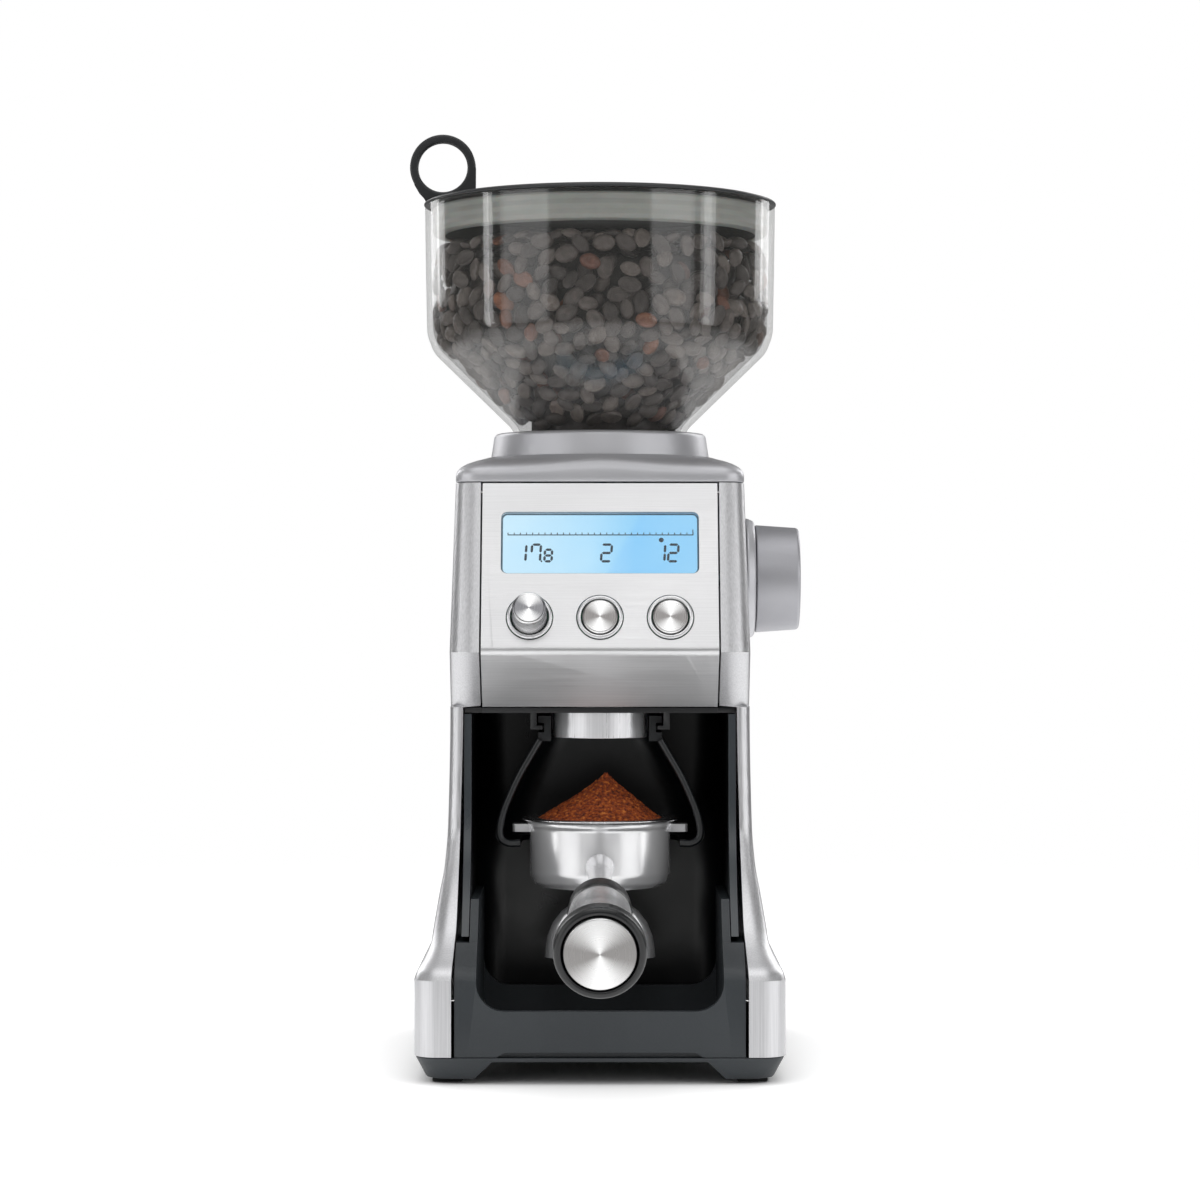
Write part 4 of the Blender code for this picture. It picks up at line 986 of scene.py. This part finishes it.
# ---- Grind size dial ------------------------------------------------------------------------------
# A hollow die-cast knob, bead-blasted, on a flared ring that is pressed into the right side shell.
dial_place = tipped((0, 0, 200), 90, "Y")
dial_grey = painted_metal("bead_blasted_zinc_dial", "#aaaaaf", "#b6b6ba", 0.45, 0.6)
dial_line = eased([(0, 83.2), (18.5, 83.2), (20.6, 84.0), (21.5, 83.0), (22.7, 65.6), (20.4, 65.6),
                   (20.0, 80.0), (6.5, 80.0), (6.5, 66.4), (3.4, 66.4), (3.4, 76.0), (0, 76.0)], 0.6)
turned("dial_knob_cap", dial_line, 144, dial_place, dial_grey, "dial", "satin_silver", "dial_knob")
flare_line = eased([(3.6, 65.2), (23.2, 65.2), (24.4, 64.6), (25.5, 62.2), (25.5, 61.4), (3.6, 61.4)], 0.5,
                   closed=True)
turned("dial_flared_ring", flare_line, 144, dial_place, satin_silver, "machine", "satin_silver",
       "dial_bezel", closed=True)


# ---- Hopper ---------------------------------------------------------------------------------------
# A smoke-tinted SAN bowl, injection moulded 2.5 mm thick, that narrows to a neck with a cross bar
# for the lock knob. Clear plastic with a grey tint and a slight haze from handling.
def smoked_plastic():
    """Smoke-tinted SAN: see-through face on, misty and bright where it turns edge on."""
    made, tree, shader, spot = finish("smoke_tinted_clear_san")
    facing = node(tree, "ShaderNodeLayerWeight", inputs={"Blend": 0.3})
    haze = speckle(tree, spot, 50)
    misty = scaled_sum(tree, haze, 0.05, facing.outputs["Facing"])
    tree.links.new(spread(tree, misty, 0.12, 0.4, 0.1, 1.0), shader.inputs["Alpha"])
    tinted(tree, shader, haze, "#5c5c59", "#686865")
    roughened(tree, shader, speckle(tree, spot, 8), 0.1, 0.17)
    shader.inputs["IOR"].default_value = 1.57
    shader.inputs["Coat Weight"].default_value = 1.0
    shader.inputs["Coat IOR"].default_value = 2.6
    shader.inputs["Coat Roughness"].default_value = 0.05
    return made


smoked = smoked_plastic()
bowl_outside = eased([(74.0, 357.0), (73.6, 330.0), (73.1, 303.0), (70.2, 295.4), (37.0, 263.2), (36.0, 260.0),
                      (36.0, 236.0)], 3.0, 8)
bowl_inside = eased([(33.5, 236.0), (33.5, 261.0), (35.2, 264.9), (68.0, 297.2), (70.6, 304.0), (71.1, 330.0),
                     (71.5, 357.0)], 2.6, 8)
bowl_rim = [(71.9, 357.3), (73.6, 357.3)]
bowl = to_mesh("hopper_bowl", spun(bowl_outside + bowl_inside + bowl_rim, 160, closed=True))
bowl = joined(bowl, slab([(-34.6, -4), (34.6, -4), (34.6, 4), (-34.6, 4)], 239, 242))
bowl = cut(bowl, spun([(0, 250), (3.2, 250), (3.2, 230), (0, 230)], 32))
settle("smoked_hopper_bowl", bowl, smoked, "hopper_body", "smoked_clear", "hopper", sharp=50)


# ---- Coffee beans ---------------------------------------------------------------------------------
# Loose roasted beans that fill the hopper to about 18 mm under its rim. Two scattered layers show
# through the wall, and a dark core stands for the rest. They stay in the hopper when it is lifted.
def one_bean():
    """A roasted bean 9 mm long: domed on one side, flat with a crease on the other."""
    work = bmesh.new()
    around, along = 10, 7
    half_length, half_width, dome, belly = 4.6, 3.4, 2.7, 1.3
    rows = []
    for step in range(1, along):
        lean = math.pi * step / along
        row = []
        for turn in range(around):
            a = 2 * math.pi * turn / around
            x, y = -math.cos(lean) * half_length, math.cos(a) * math.sin(lean) * half_width
            z = math.sin(a) * math.sin(lean)
            z = z * dome if z > 0 else z * belly
            if z < 0 and abs(y) < 1.3:
                z += 0.9 * math.sin(lean)
            row.append(work.verts.new((x, y, z)))
        rows.append(row)
    tips = [work.verts.new((-4.7, 0, 0.2)), work.verts.new((4.7, 0, 0.2))]
    for first, second in zip(rows, rows[1:]):
        bridge(work, second, first)
    for here in range(around):
        ahead = (here + 1) % around
        work.faces.new((tips[0], rows[0][ahead], rows[0][here]))
        work.faces.new((tips[1], rows[-1][here], rows[-1][ahead]))
    bmesh.ops.recalc_face_normals(work, faces=work.faces)
    mesh = bpy.data.meshes.new("one_bean")
    work.to_mesh(mesh)
    work.free()
    mesh.transform(Matrix.Scale(MM, 4))
    mesh.shade_smooth()
    return mesh


def roasted():
    """Medium-dark roasted beans: brown, slightly oily, each with its own tone."""
    made, tree, shader, spot = finish("roasted_arabica_beans")
    tone = node(tree, "ShaderNodeAttribute", {"attribute_name": "tone"}).outputs["Fac"]
    skin_tone = ramp(tree, tone, [(0.0, "#48413e"), (0.35, "#5c5450"), (0.6, "#6e6560"),
                                  (0.93, "#827871"), (0.965, "#7c5142"), (1.0, "#98603f")])
    fleck = speckle(tree, spot, 2.2)
    dusty = blended(tree, spread(tree, fleck, 0.0, 0.5), skin_tone, srgb("#7b736e"))
    tree.links.new(dusty, shader.inputs["Base Color"])
    roughened(tree, shader, fleck, 0.34, 0.5)
    shader.inputs["IOR"].default_value = 1.47
    bumped(tree, shader, speckle(tree, spot, 1.2), 0.05)
    return made


def scattered(name):
    """Geometry nodes: a few hundred copies of one small piece spread over a surface."""
    tree, given = geometry_tree(name, {"Piece": "NodeSocketObject", "Spacing": "NodeSocketFloat",
                                       "Density": "NodeSocketFloat", "Smallest": "NodeSocketFloat",
                                       "Largest": "NodeSocketFloat", "Seed": "NodeSocketInt",
                                       "Material": "NodeSocketMaterial"})
    points = node(tree, "GeometryNodeDistributePointsOnFaces", {"distribute_method": "POISSON"},
                  {"Mesh": given["Geometry"], "Distance Min": given["Spacing"],
                   "Density Max": given["Density"], "Seed": given["Seed"]})
    pattern = node(tree, "GeometryNodeObjectInfo", inputs={"Object": given["Piece"]})
    chance = node(tree, "FunctionNodeRandomValue", {"data_type": "FLOAT"}, {2: 0.0, 3: 1.0, "Seed": 21})
    belly_up = node(tree, "ShaderNodeMath", {"operation": "GREATER_THAN"}, {0: chance.outputs[1], 1: 0.6})
    half_turn = node(tree, "ShaderNodeMath", {"operation": "MULTIPLY"}, {0: belly_up.outputs[0], 1: math.pi})
    turned_over = node(tree, "ShaderNodeCombineXYZ", inputs={"X": half_turn.outputs[0]})
    jumble = node(tree, "FunctionNodeRandomValue", {"data_type": "FLOAT_VECTOR"},
                  {0: (-0.35, -0.35, 0), 1: (0.35, 0.35, math.tau), "Seed": given["Seed"]})
    lean = node(tree, "ShaderNodeVectorMath", {"operation": "ADD"},
                {0: turned_over.outputs[0], 1: jumble.outputs[0]})
    tumble = node(tree, "FunctionNodeRotateRotation", {"rotation_space": "LOCAL"},
                  {"Rotation": points.outputs["Rotation"], "Rotate By": lean.outputs[0]})
    size = node(tree, "FunctionNodeRandomValue", {"data_type": "FLOAT"},
                {2: given["Smallest"], 3: given["Largest"], "Seed": given["Seed"]})
    copies = node(tree, "GeometryNodeInstanceOnPoints",
                  inputs={"Points": points.outputs["Points"], "Instance": pattern.outputs["Geometry"],
                          "Rotation": tumble.outputs[0], "Scale": size.outputs[1]})
    tone = node(tree, "FunctionNodeRandomValue", {"data_type": "FLOAT"}, {2: 0.0, 3: 1.0, "Seed": 9})
    toned = node(tree, "GeometryNodeStoreNamedAttribute", {"data_type": "FLOAT", "domain": "INSTANCE"},
                 {"Geometry": copies.outputs[0], "Name": "tone", "Value": tone.outputs[1]})
    real = node(tree, "GeometryNodeRealizeInstances", inputs={0: toned.outputs[0]})
    coated = node(tree, "GeometryNodeSetMaterial",
                  inputs={0: real.outputs[0], "Material": given["Material"]})
    node(tree, "NodeGroupOutput", inputs={0: coated.outputs[0]})
    return tree


bean_coat = roasted()
bean = linked("one_bean", one_bean())
scatter_tree = scattered("scatter_over_surface")
bean_surface = [(0, 339.5), (30, 341), (60, 339.5), (68.2, 338.0), (68.0, 304.0), (65.4, 298.8), (34, 268.3),
                (31.0, 264)]
inner_surface = [(0, 335), (56, 335), (62.0, 333), (61.8, 306), (59.0, 301), (31, 273), (27, 268)]
bean_density = 60000.0
for name, surface, spacing, seed in (("outer_beans", bean_surface, 5.6, 4),
                                     ("inner_beans", inner_surface, 7.2, 11)):
    shape = to_mesh(name + "_surface", spun(eased(surface, 3, 3), 64))
    layer = grow(name, shape, scatter_tree,
                 {"Piece": bean, "Spacing": spacing * MM, "Density": bean_density, "Smallest": 0.86,
                  "Largest": 1.12, "Seed": seed, "Material": bean_coat})
    settle("roasted_" + name, layer, bean_coat, "hopper_body", "black_plastic", sharp=60)
bpy.data.objects.remove(bean)
core_line = eased([(0, 333), (57, 333), (58.5, 328), (58.0, 307), (55.5, 302), (30.5, 277), (29.0, 271),
                   (29.0, 259), (0, 259)], 3, 3)
turned("bean_core", core_line, 64, None, bean_coat, "hopper_body", "black_plastic")


# ---- Lid, finger ring, seal and lock knob ---------------------------------------------------------
# The lid is one black moulding with a shallow dome, a plug that fits inside the hopper and an
# upright ring for a finger. A milky silicone seal is stretched over the plug.
lid_plastic = moulded("satin_black_moulded_lid", "#1d1f21", "#242628", 0.42, 0.6, 0.02)
lid_line = eased([(0, 361.0), (50, 360.5), (70, 359.6), (74.4, 358.4), (74.4, 357.4), (68.2, 357.4),
                  (68.2, 345.5), (66, 345.5), (66, 355.5), (0, 356.5)], 0.7)
ring_x, ring_z = -66.5, 374.0
ring_place = tipped((ring_x, 0, ring_z), 90)
ring_line = eased([(10.4, 2.5), (13.9, 2.5), (13.9, -2.5), (10.4, -2.5)], 1.0, 5, closed=True)
finger_ring = to_mesh("finger_ring", spun(ring_line, 96, closed=True), ring_place)
ring_foot = slab([(-78.6, 366.8), (-76.6, 363.4), (-74.6, 361.2), (-73.6, 359.4), (-73.4, 358.0),
                  (-53.6, 358.0), (-52.9, 361.0), (-52.6, 366.0), (-52.55, 374.0), (-54.6, 374.0)]
                 + arc((ring_x, ring_z), 12.0, -4, -143, 24), -2.5, 2.5, "y")
lid = welded(to_mesh("hopper_lid", spun(lid_line, 144)), joined(finger_ring, ring_foot))
settle("hopper_lid_with_ring", lid, lid_plastic, "lid", "black_plastic", "hopper_lid", rounding=0.6,
       segments=2, sharp=40)


def silicone():
    """Translucent silicone rubber: milky, green-grey, softly matt."""
    made, tree, shader, spot = finish("translucent_silicone_rubber")
    cloud = speckle(tree, spot, 12)
    tinted(tree, shader, cloud, "#abada7", "#b8bab4")
    roughened(tree, shader, cloud, 0.42, 0.55)
    shader.inputs["IOR"].default_value = 1.41
    shader.inputs["Subsurface Weight"].default_value = 0.2
    shader.inputs["Subsurface Scale"].default_value = 0.004
    return made


seal_line = eased([(68.5, 356), (70.4, 356), (70.9, 355), (70.4, 353), (70.9, 351), (70.4, 349), (70.9, 347),
                   (70.2, 345.2), (65.6, 344.6), (65.6, 345.2), (68.5, 345.4)], 0.3, 3, closed=True)
turned("lid_silicone_seal", seal_line, 144, None, silicone(), "lid", "clear_silicone", "lid_seal",
       closed=True)


# ---- Outlet tube ----------------------------------------------------------------------------------
# Drawn stainless tube, buffed bright, that guides the ground coffee from the head into the basket.
spout_y = -33.0
SPOUT = Matrix.Translation((0, spout_y, 0))
buffed = brushed_steel("buffed_stainless_tube", "z", "#d4d4d6", "#e6e6e8", 0.3, 0.6, 0.72)
tube_line = eased([(18.0, 149.8), (20.0, 149.8), (20.0, 148.0), (19.3, 148.0), (19.3, 134.4), (18.0, 134.4)],
                  0.35, closed=True)
turned("outlet_steel_tube", tube_line, 128, SPOUT, buffed, "machine", "chrome", "outlet_tube", closed=True)


# ---- Cradle ---------------------------------------------------------------------------------------
# A curved black shield with two arms that hook under the portafilter's ears. It slides out on
# two runners, and a rolled bead stiffens its front edge.
cradle_plastic = moulded("moulded_charcoal_cradle", "#0c0e11", "#121518", 0.36, 0.8, 0.02)
cradle_shape = [(134.4, 25.6), (126.0, 30.5), (118.0, 34.8), (111.0, 38.1), (104.0, 40.9), (99.5, 42.3),
                (96.0, 42.9), (93.8, 42.8), (92.2, 42.0), (91.0, 40.6), (90.2, 38.6), (89.8, 36.0), (89.6, 32.8)]
cradle_rows = []
for z, half in cradle_shape:
    right = [(half, -44.0), (half, -30.0), (half, -14.0)] + arc((half - 14, 4.6 - 14), 14, 0, 90, 12)
    cradle_rows.append((right + flipped(right), z))
shield = thickened(to_mesh("cradle_shield", skin(cradle_rows)), 2.2)
for side in (-1, 1):
    for inner, outer, low, high in ((20.2, 25.4, 133.0, 136.6), (20.2, 23.0, 136.0, 141.6),
                                    (20.2, 25.4, 140.4, 143.4)):
        left, right = sorted((inner * side, outer * side))
        shield = joined(shield, slab([(left, -43), (right, -43), (right, -8), (left, -8)], low, high))
settle("cradle_shield", shield, cradle_plastic, "cradle_body", "black_plastic", "cradle",
       rounding=0.4, segments=2, sharp=45)


def tube_along(points, radius, sides=14):
    """A round bar that follows a line of points."""
    work = bmesh.new()
    line = [Vector(point) for point in points]
    rings = []
    across = None
    for index, here in enumerate(line):
        way = (line[min(index + 1, len(line) - 1)] - line[max(index - 1, 0)]).normalized()
        if across is None:
            across = way.orthogonal().normalized()
        across = (across - way * across.dot(way)).normalized()
        other = way.cross(across)
        turns = [2 * math.pi * i / sides for i in range(sides)]
        rings.append([work.verts.new(here + across * radius * math.cos(a) + other * radius * math.sin(a))
                      for a in turns])
    for first, second in zip(rings, rings[1:]):
        bridge(work, second, first)
    work.faces.new(rings[0][::-1])
    work.faces.new(rings[-1])
    bmesh.ops.recalc_face_normals(work, faces=work.faces)
    return work


bead_line = eased([(133.4, 25.8), (118.0, 34.8), (104.0, 40.9), (96.0, 42.7), (91.6, 41.2), (90.2, 33.8)],
                  5, 6)
for side, name in ((-1, "left"), (1, "right")):
    bead = [((half - 1.0) * side, -44.0, z + (0.0 if z > 90.5 else 0.9)) for z, half in bead_line]
    settle(f"cradle_{name}_bead", to_mesh("cradle_bead", tube_along(bead, 1.5)), cradle_plastic,
           "cradle_body", "black_plastic", sharp=50)


# ---- Grinds tray ----------------------------------------------------------------------------------
# A deep charcoal drawer that fills the foot of the bay. Its front is cut low in a wide round-cornered
# window, its cheeks lie flush with the steel shells and an arch under it lets a finger pull it out.
def tray_edge(height):
    """Front of the tray at a height, just inside the casing's line."""
    return shell_row(height)[1] + 1.2


slope = [(tray_edge(z), z) for z in [70.5, 66, 62, 58, 56, 54.0, 52, 50, 48, 46, 44, 42.5, 41.0]]
tray_side = [(-6, 11.3), (-6, 70.5)] + slope + [(slope[-1][0], 11.3)]
tray = to_mesh("grinds_tray", slab(tray_side, -52.1, 52.1, "x"))
low_slope = [point for point in slope if point[1] <= 54.0]
cheek_side = ([(-61, 10.9), (-61, 54.5), (low_slope[0][0] + 0.4, 54.5)] + low_slope[1:]
              + [(low_slope[-1][0], 10.9)])
tray = joined(tray, slab(cheek_side, -57.4, 57.4, "x"))
tray_half, tray_floor, tray_lip, tray_corner = 48.8, 14.0, 29.0, 11.0


def tray_cut(low, top):
    """A wide slot with round lower corners."""
    return (arc((-tray_half + tray_corner, low + tray_corner), tray_corner, 180, 270, 12)
            + arc((tray_half - tray_corner, low + tray_corner), tray_corner, 270, 360, 12)
            + [(tray_half, top), (-tray_half, top)])


tray = cut(tray, slab(tray_cut(tray_floor, 90), -98.6, -9, "y"))
tray = cut(tray, slab(tray_cut(tray_lip, 91), -120, 5, "y"))
tray = cut(tray, slab([(-44, 9), (44, 9), (37.5, 12.8), (-37.5, 12.8)], -120, -100.4, "y"))
settle("charcoal_grinds_tray", tray, charcoal_abs, "tray", "charcoal_plastic", "grinds_tray",
       rounding=0.5, segments=2, sharp=35)


# ---- Portafilter ----------------------------------------------------------------------------------
# A chromed brass bowl with two locking ears and a forged neck, holding a pressed steel basket.
body_line = eased([(27.0, 99.9), (30.2, 99.9), (30.2, 98.2), (29.0, 97.2), (29.0, 78.4), (27.9, 74.8),
                   (24.6, 72.6), (4.0, 72.6), (4.0, 75.2), (23.6, 75.2), (27.0, 79.4)], 1.0, 5, closed=True)
bowl_body = to_mesh("portafilter_body", spun(body_line, 144, closed=True), SPOUT)
for side in (-1, 1):
    left, right = sorted((28.0 * side, 36.2 * side))
    ear = rounded_rectangle(left, spout_y - 5, right, spout_y + 5, 1.6, 5)
    bowl_body = joined(bowl_body, slab(ear, 95.4, 98.6))
handle_drop = 8.5
HANDLE = tipped((0, -64, 82), 90 + handle_drop)
neck_line = eased([(0, 63.6), (8.6, 63.6), (7.6, 54), (6.0, 40), (4.8, 22), (4.6, 10), (5.4, 2), (6.2, -3.0),
                   (0, -3.0)], 2.0)
settle("chromed_portafilter_bowl", joined(bowl_body, spun(neck_line, 64), HANDLE), satin_chrome,
       "portafilter", "chrome", "portafilter_body", sharp=45)
basket_steel = machined_steel("pressed_stainless_basket", "#c2c2c4", "#d9d9da", 0.2)
basket_line = eased([(0, 80.8), (25.1, 81.6), (25.8, 101.3), (32.0, 101.4), (32.6, 100.8), (32.0, 100.2),
                     (26.7, 100.2), (26.0, 80.6), (0, 79.8)], 0.5)
turned("pressed_filter_basket", basket_line, 144, SPOUT, basket_steel, "portafilter", "hardened_steel",
       "filter_basket")


# ---- Ground coffee --------------------------------------------------------------------------------
# A loose heap of medium-fine grounds, steep near its tip where the outlet dropped it. The heap is
# one displaced cone with a few thousand separate granules on its skin.
def grounds_finish():
    """Ground roast coffee: rust brown granules with dark and orange flecks, quite dull."""
    made, tree, shader, spot = finish("ground_roast_coffee")
    fleck = speckle(tree, spot, 1.5, detail=5.0)
    rust = ramp(tree, fleck, [(0.32, "#4a1d08"), (0.44, "#7d3410"), (0.56, "#a34c18"), (0.72, "#d07d38")])
    tree.links.new(rust, shader.inputs["Base Color"])
    roughened(tree, shader, fleck, 0.75, 0.95)
    bumped(tree, shader, speckle(tree, spot, 0.6), 0.25)
    return made


grounds = grounds_finish()
heap = bmesh.new()
apex_x, apex_rise, heap_base, heap_foot, heap_radius = 2.6, 19.0, 100.6, 96.0, 24.9
heap_rings, heap_sides = 36, 96
middle = heap.verts.new((apex_x, spout_y, heap_base + apex_rise))
previous = None
for ring in range(1, heap_rings + 1):
    share = ring / heap_rings
    fall = apex_rise * (1 - (0.14 * math.sqrt(share) + 0.86 * share ** 0.92))
    row = []
    for side in range(heap_sides):
        a = 2 * math.pi * side / heap_sides
        lumps = (1.1 * math.sin(3 * a + 5 * share) + 0.3 * math.sin(7 * a - 9 * share)) * share * (1 - share)
        x = apex_x * (1 - share) + heap_radius * share * math.cos(a)
        y = spout_y + heap_radius * share * math.sin(a)
        row.append(heap.verts.new((x, y, heap_base + fall + lumps)))
    if previous:
        bridge(heap, previous, row)
    else:
        for side in range(heap_sides):
            heap.faces.new((middle, row[side], row[(side + 1) % heap_sides]))
    previous = row
low_row = [heap.verts.new((corner.co.x * 0.995, spout_y + (corner.co.y - spout_y) * 0.995, heap_foot))
           for corner in previous]
bridge(heap, previous, low_row)
heap.faces.new(low_row[::-1])
heap_mesh = to_mesh("ground_coffee_heap", heap)
settle("ground_coffee_heap", heap_mesh, grounds, "portafilter", "black_plastic", sharp=80)
granule_mesh = bpy.data.meshes.new("one_granule")
granule_work = bmesh.new()
bmesh.ops.create_icosphere(granule_work, subdivisions=1, radius=0.85 * MM)
for index, corner in enumerate(granule_work.verts):
    corner.co *= 0.75 + 0.5 * ((index * 37) % 11) / 11
granule_work.to_mesh(granule_mesh)
granule_work.free()
granule = linked("one_granule", granule_mesh)
granule_spacing, granule_density = 0.62, 4.0e6
granules = grow("loose_granules", heap_mesh.copy(), scatter_tree,
                {"Piece": granule, "Spacing": granule_spacing * MM, "Density": granule_density,
                 "Smallest": 0.45, "Largest": 1.25, "Seed": 3, "Material": grounds})
settle("ground_coffee_granules", granules, grounds, "portafilter", "black_plastic", sharp=10)
bpy.data.objects.remove(granule)


# ---- Handle ---------------------------------------------------------------------------------------
# A black phenolic grip with a collar at the neck and a rounded end, a chromed sleeve pulled over it
# between the two, and a spun steel disc let into the end.
ferrule_line = eased([(9.4, 124.4), (14.6, 124.4), (13.6, 112.0), (12.9, 98.0), (12.2, 80.4), (9.4, 80.4)], 0.5,
                     closed=True)
turned("chromed_handle_sleeve", ferrule_line, 96, HANDLE, satin_chrome, "portafilter", "chrome",
       "handle_ferrule", closed=True)
phenolic = moulded("polished_black_phenolic", "#08090b", "#0d0e10", 0.32, 1.6, 0.008)
grip_line = eased([(0, 134.6), (14.2, 134.6), (14.2, 137.4), (15.2, 137.8), (16.4, 137.4), (17.25, 136.2),
                   (17.25, 129.0), (16.0, 124.8), (9.0, 124.8), (9.0, 80.0), (12.2, 80.0), (12.5, 77.0),
                   (12.1, 66.4), (10.6, 64.0), (0, 64.0)], 0.9, 5)
turned("phenolic_handle_grip", grip_line, 128, HANDLE, phenolic, "portafilter", "black_plastic",
       "portafilter_handle")
# The end disc's bow-tie highlight is painted into its colour.
disc_steel = spun_metal_with_painted_bowtie("spun_stainless_handle_disc", HANDLE, "#8a8887", "#f4f4f4", 0.3, -100)
disc_line = eased([(0, 138.6), (13.2, 138.2), (13.6, 137.6), (13.6, 135.0), (0, 135.0)], 0.3)
turned("handle_spun_disc", disc_line, 128, HANDLE, disc_steel, "portafilter", "brushed_stainless",
       "handle_end_disc")


# ---- Double spout ---------------------------------------------------------------------------------
# A chromed pipe bent into two outlets, brazed to the stem that screws into the bowl.
outlet_x, pipe_radius, bore_radius = 18.2, 4.8, 3.7
half_route = [(outlet_x, 43.0), (17.9, 47.0), (17.2, 51.0), (15.4, 55.4), (12.6, 59.0), (8.8, 61.8),
              (4.4, 63.2)]
route = [(-x, z) for x, z in half_route] + [(0, 63.6)] + half_route[::-1]
pipe = to_mesh("portafilter_spout", tube_along([(x, spout_y, z) for x, z in route], pipe_radius, 32))
stem_line = eased([(0, 75.6), (3.7, 75.6), (3.7, 72.2), (7.0, 72.2), (7.0, 64.0), (0, 64.0)], 0.5)
pipe = joined(pipe, spun(stem_line, 48), SPOUT)
for side in (-1, 1):
    bore = [(outlet_x * side, spout_y, 42.0), (18.0 * side, spout_y, 47.0)]
    pipe = cut(pipe, tube_along(bore, bore_radius, 32))
settle("chromed_double_spout", pipe, satin_chrome, "portafilter", "chrome", "portafilter_spout", sharp=45)


# ---- Works inside the casing ------------------------------------------------------------------------
# The burrs, gears, motor, boards and switch keep their own solids. Each is given the finish it is
# made in: ground tool steel, acetal gears, glass-fibre boards and moulded nylon.
tool_steel = machined_steel("ground_tool_steel", "#8d8e90", "#b0b1b3", 0.28)
black_nylon = moulded("glass_filled_black_nylon", "#16171a", "#1f2024", 0.5)
acetal = moulded("natural_acetal_gear", "#d6d2c4", "#e2dfd3", 0.45)


def fibre_board():
    """Glass-fibre circuit board under green solder mask, with paler tracks."""
    made, tree, shader, spot = finish("green_glass_fibre_board")
    tracks = node(tree, "ShaderNodeTexBrick", inputs={"Vector": spot, "Scale": 120.0,
                                                      "Color1": srgb("#0d4a2a"), "Color2": srgb("#115733"),
                                                      "Mortar": srgb("#2b7a4c"), "Mortar Size": 0.05})
    tree.links.new(tracks.outputs["Color"], shader.inputs["Base Color"])
    roughened(tree, shader, speckle(tree, spot, 3), 0.3, 0.45)
    return made


board_green = fibre_board()
inner_finishes = {
    tool_steel: ["burr_chamber", "spindle_bearing", "burr_spindle", "lower_burr", "upper_burr", "adjust_ring",
                 "dial_shaft", "gear_plate", "motor_can", "motor_shaft", "plunger_spring"],
    black_nylon: ["grinds_impeller", "upper_burr_holder", "outlet_chute", "microswitch", "hopper_lock_knob"],
    acetal: ["final_gear", "idler_gear", "encoder_plunger"],
    board_green: ["control_board", "power_board"]}
for coat, cad_nodes in inner_finishes.items():
    for cad_node in cad_nodes:
        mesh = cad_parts[cad_node].data
        mesh.materials.clear()
        mesh.materials.append(coat)
for unused in [mesh for mesh in bpy.data.meshes if mesh.users == 0]:
    bpy.data.meshes.remove(unused)
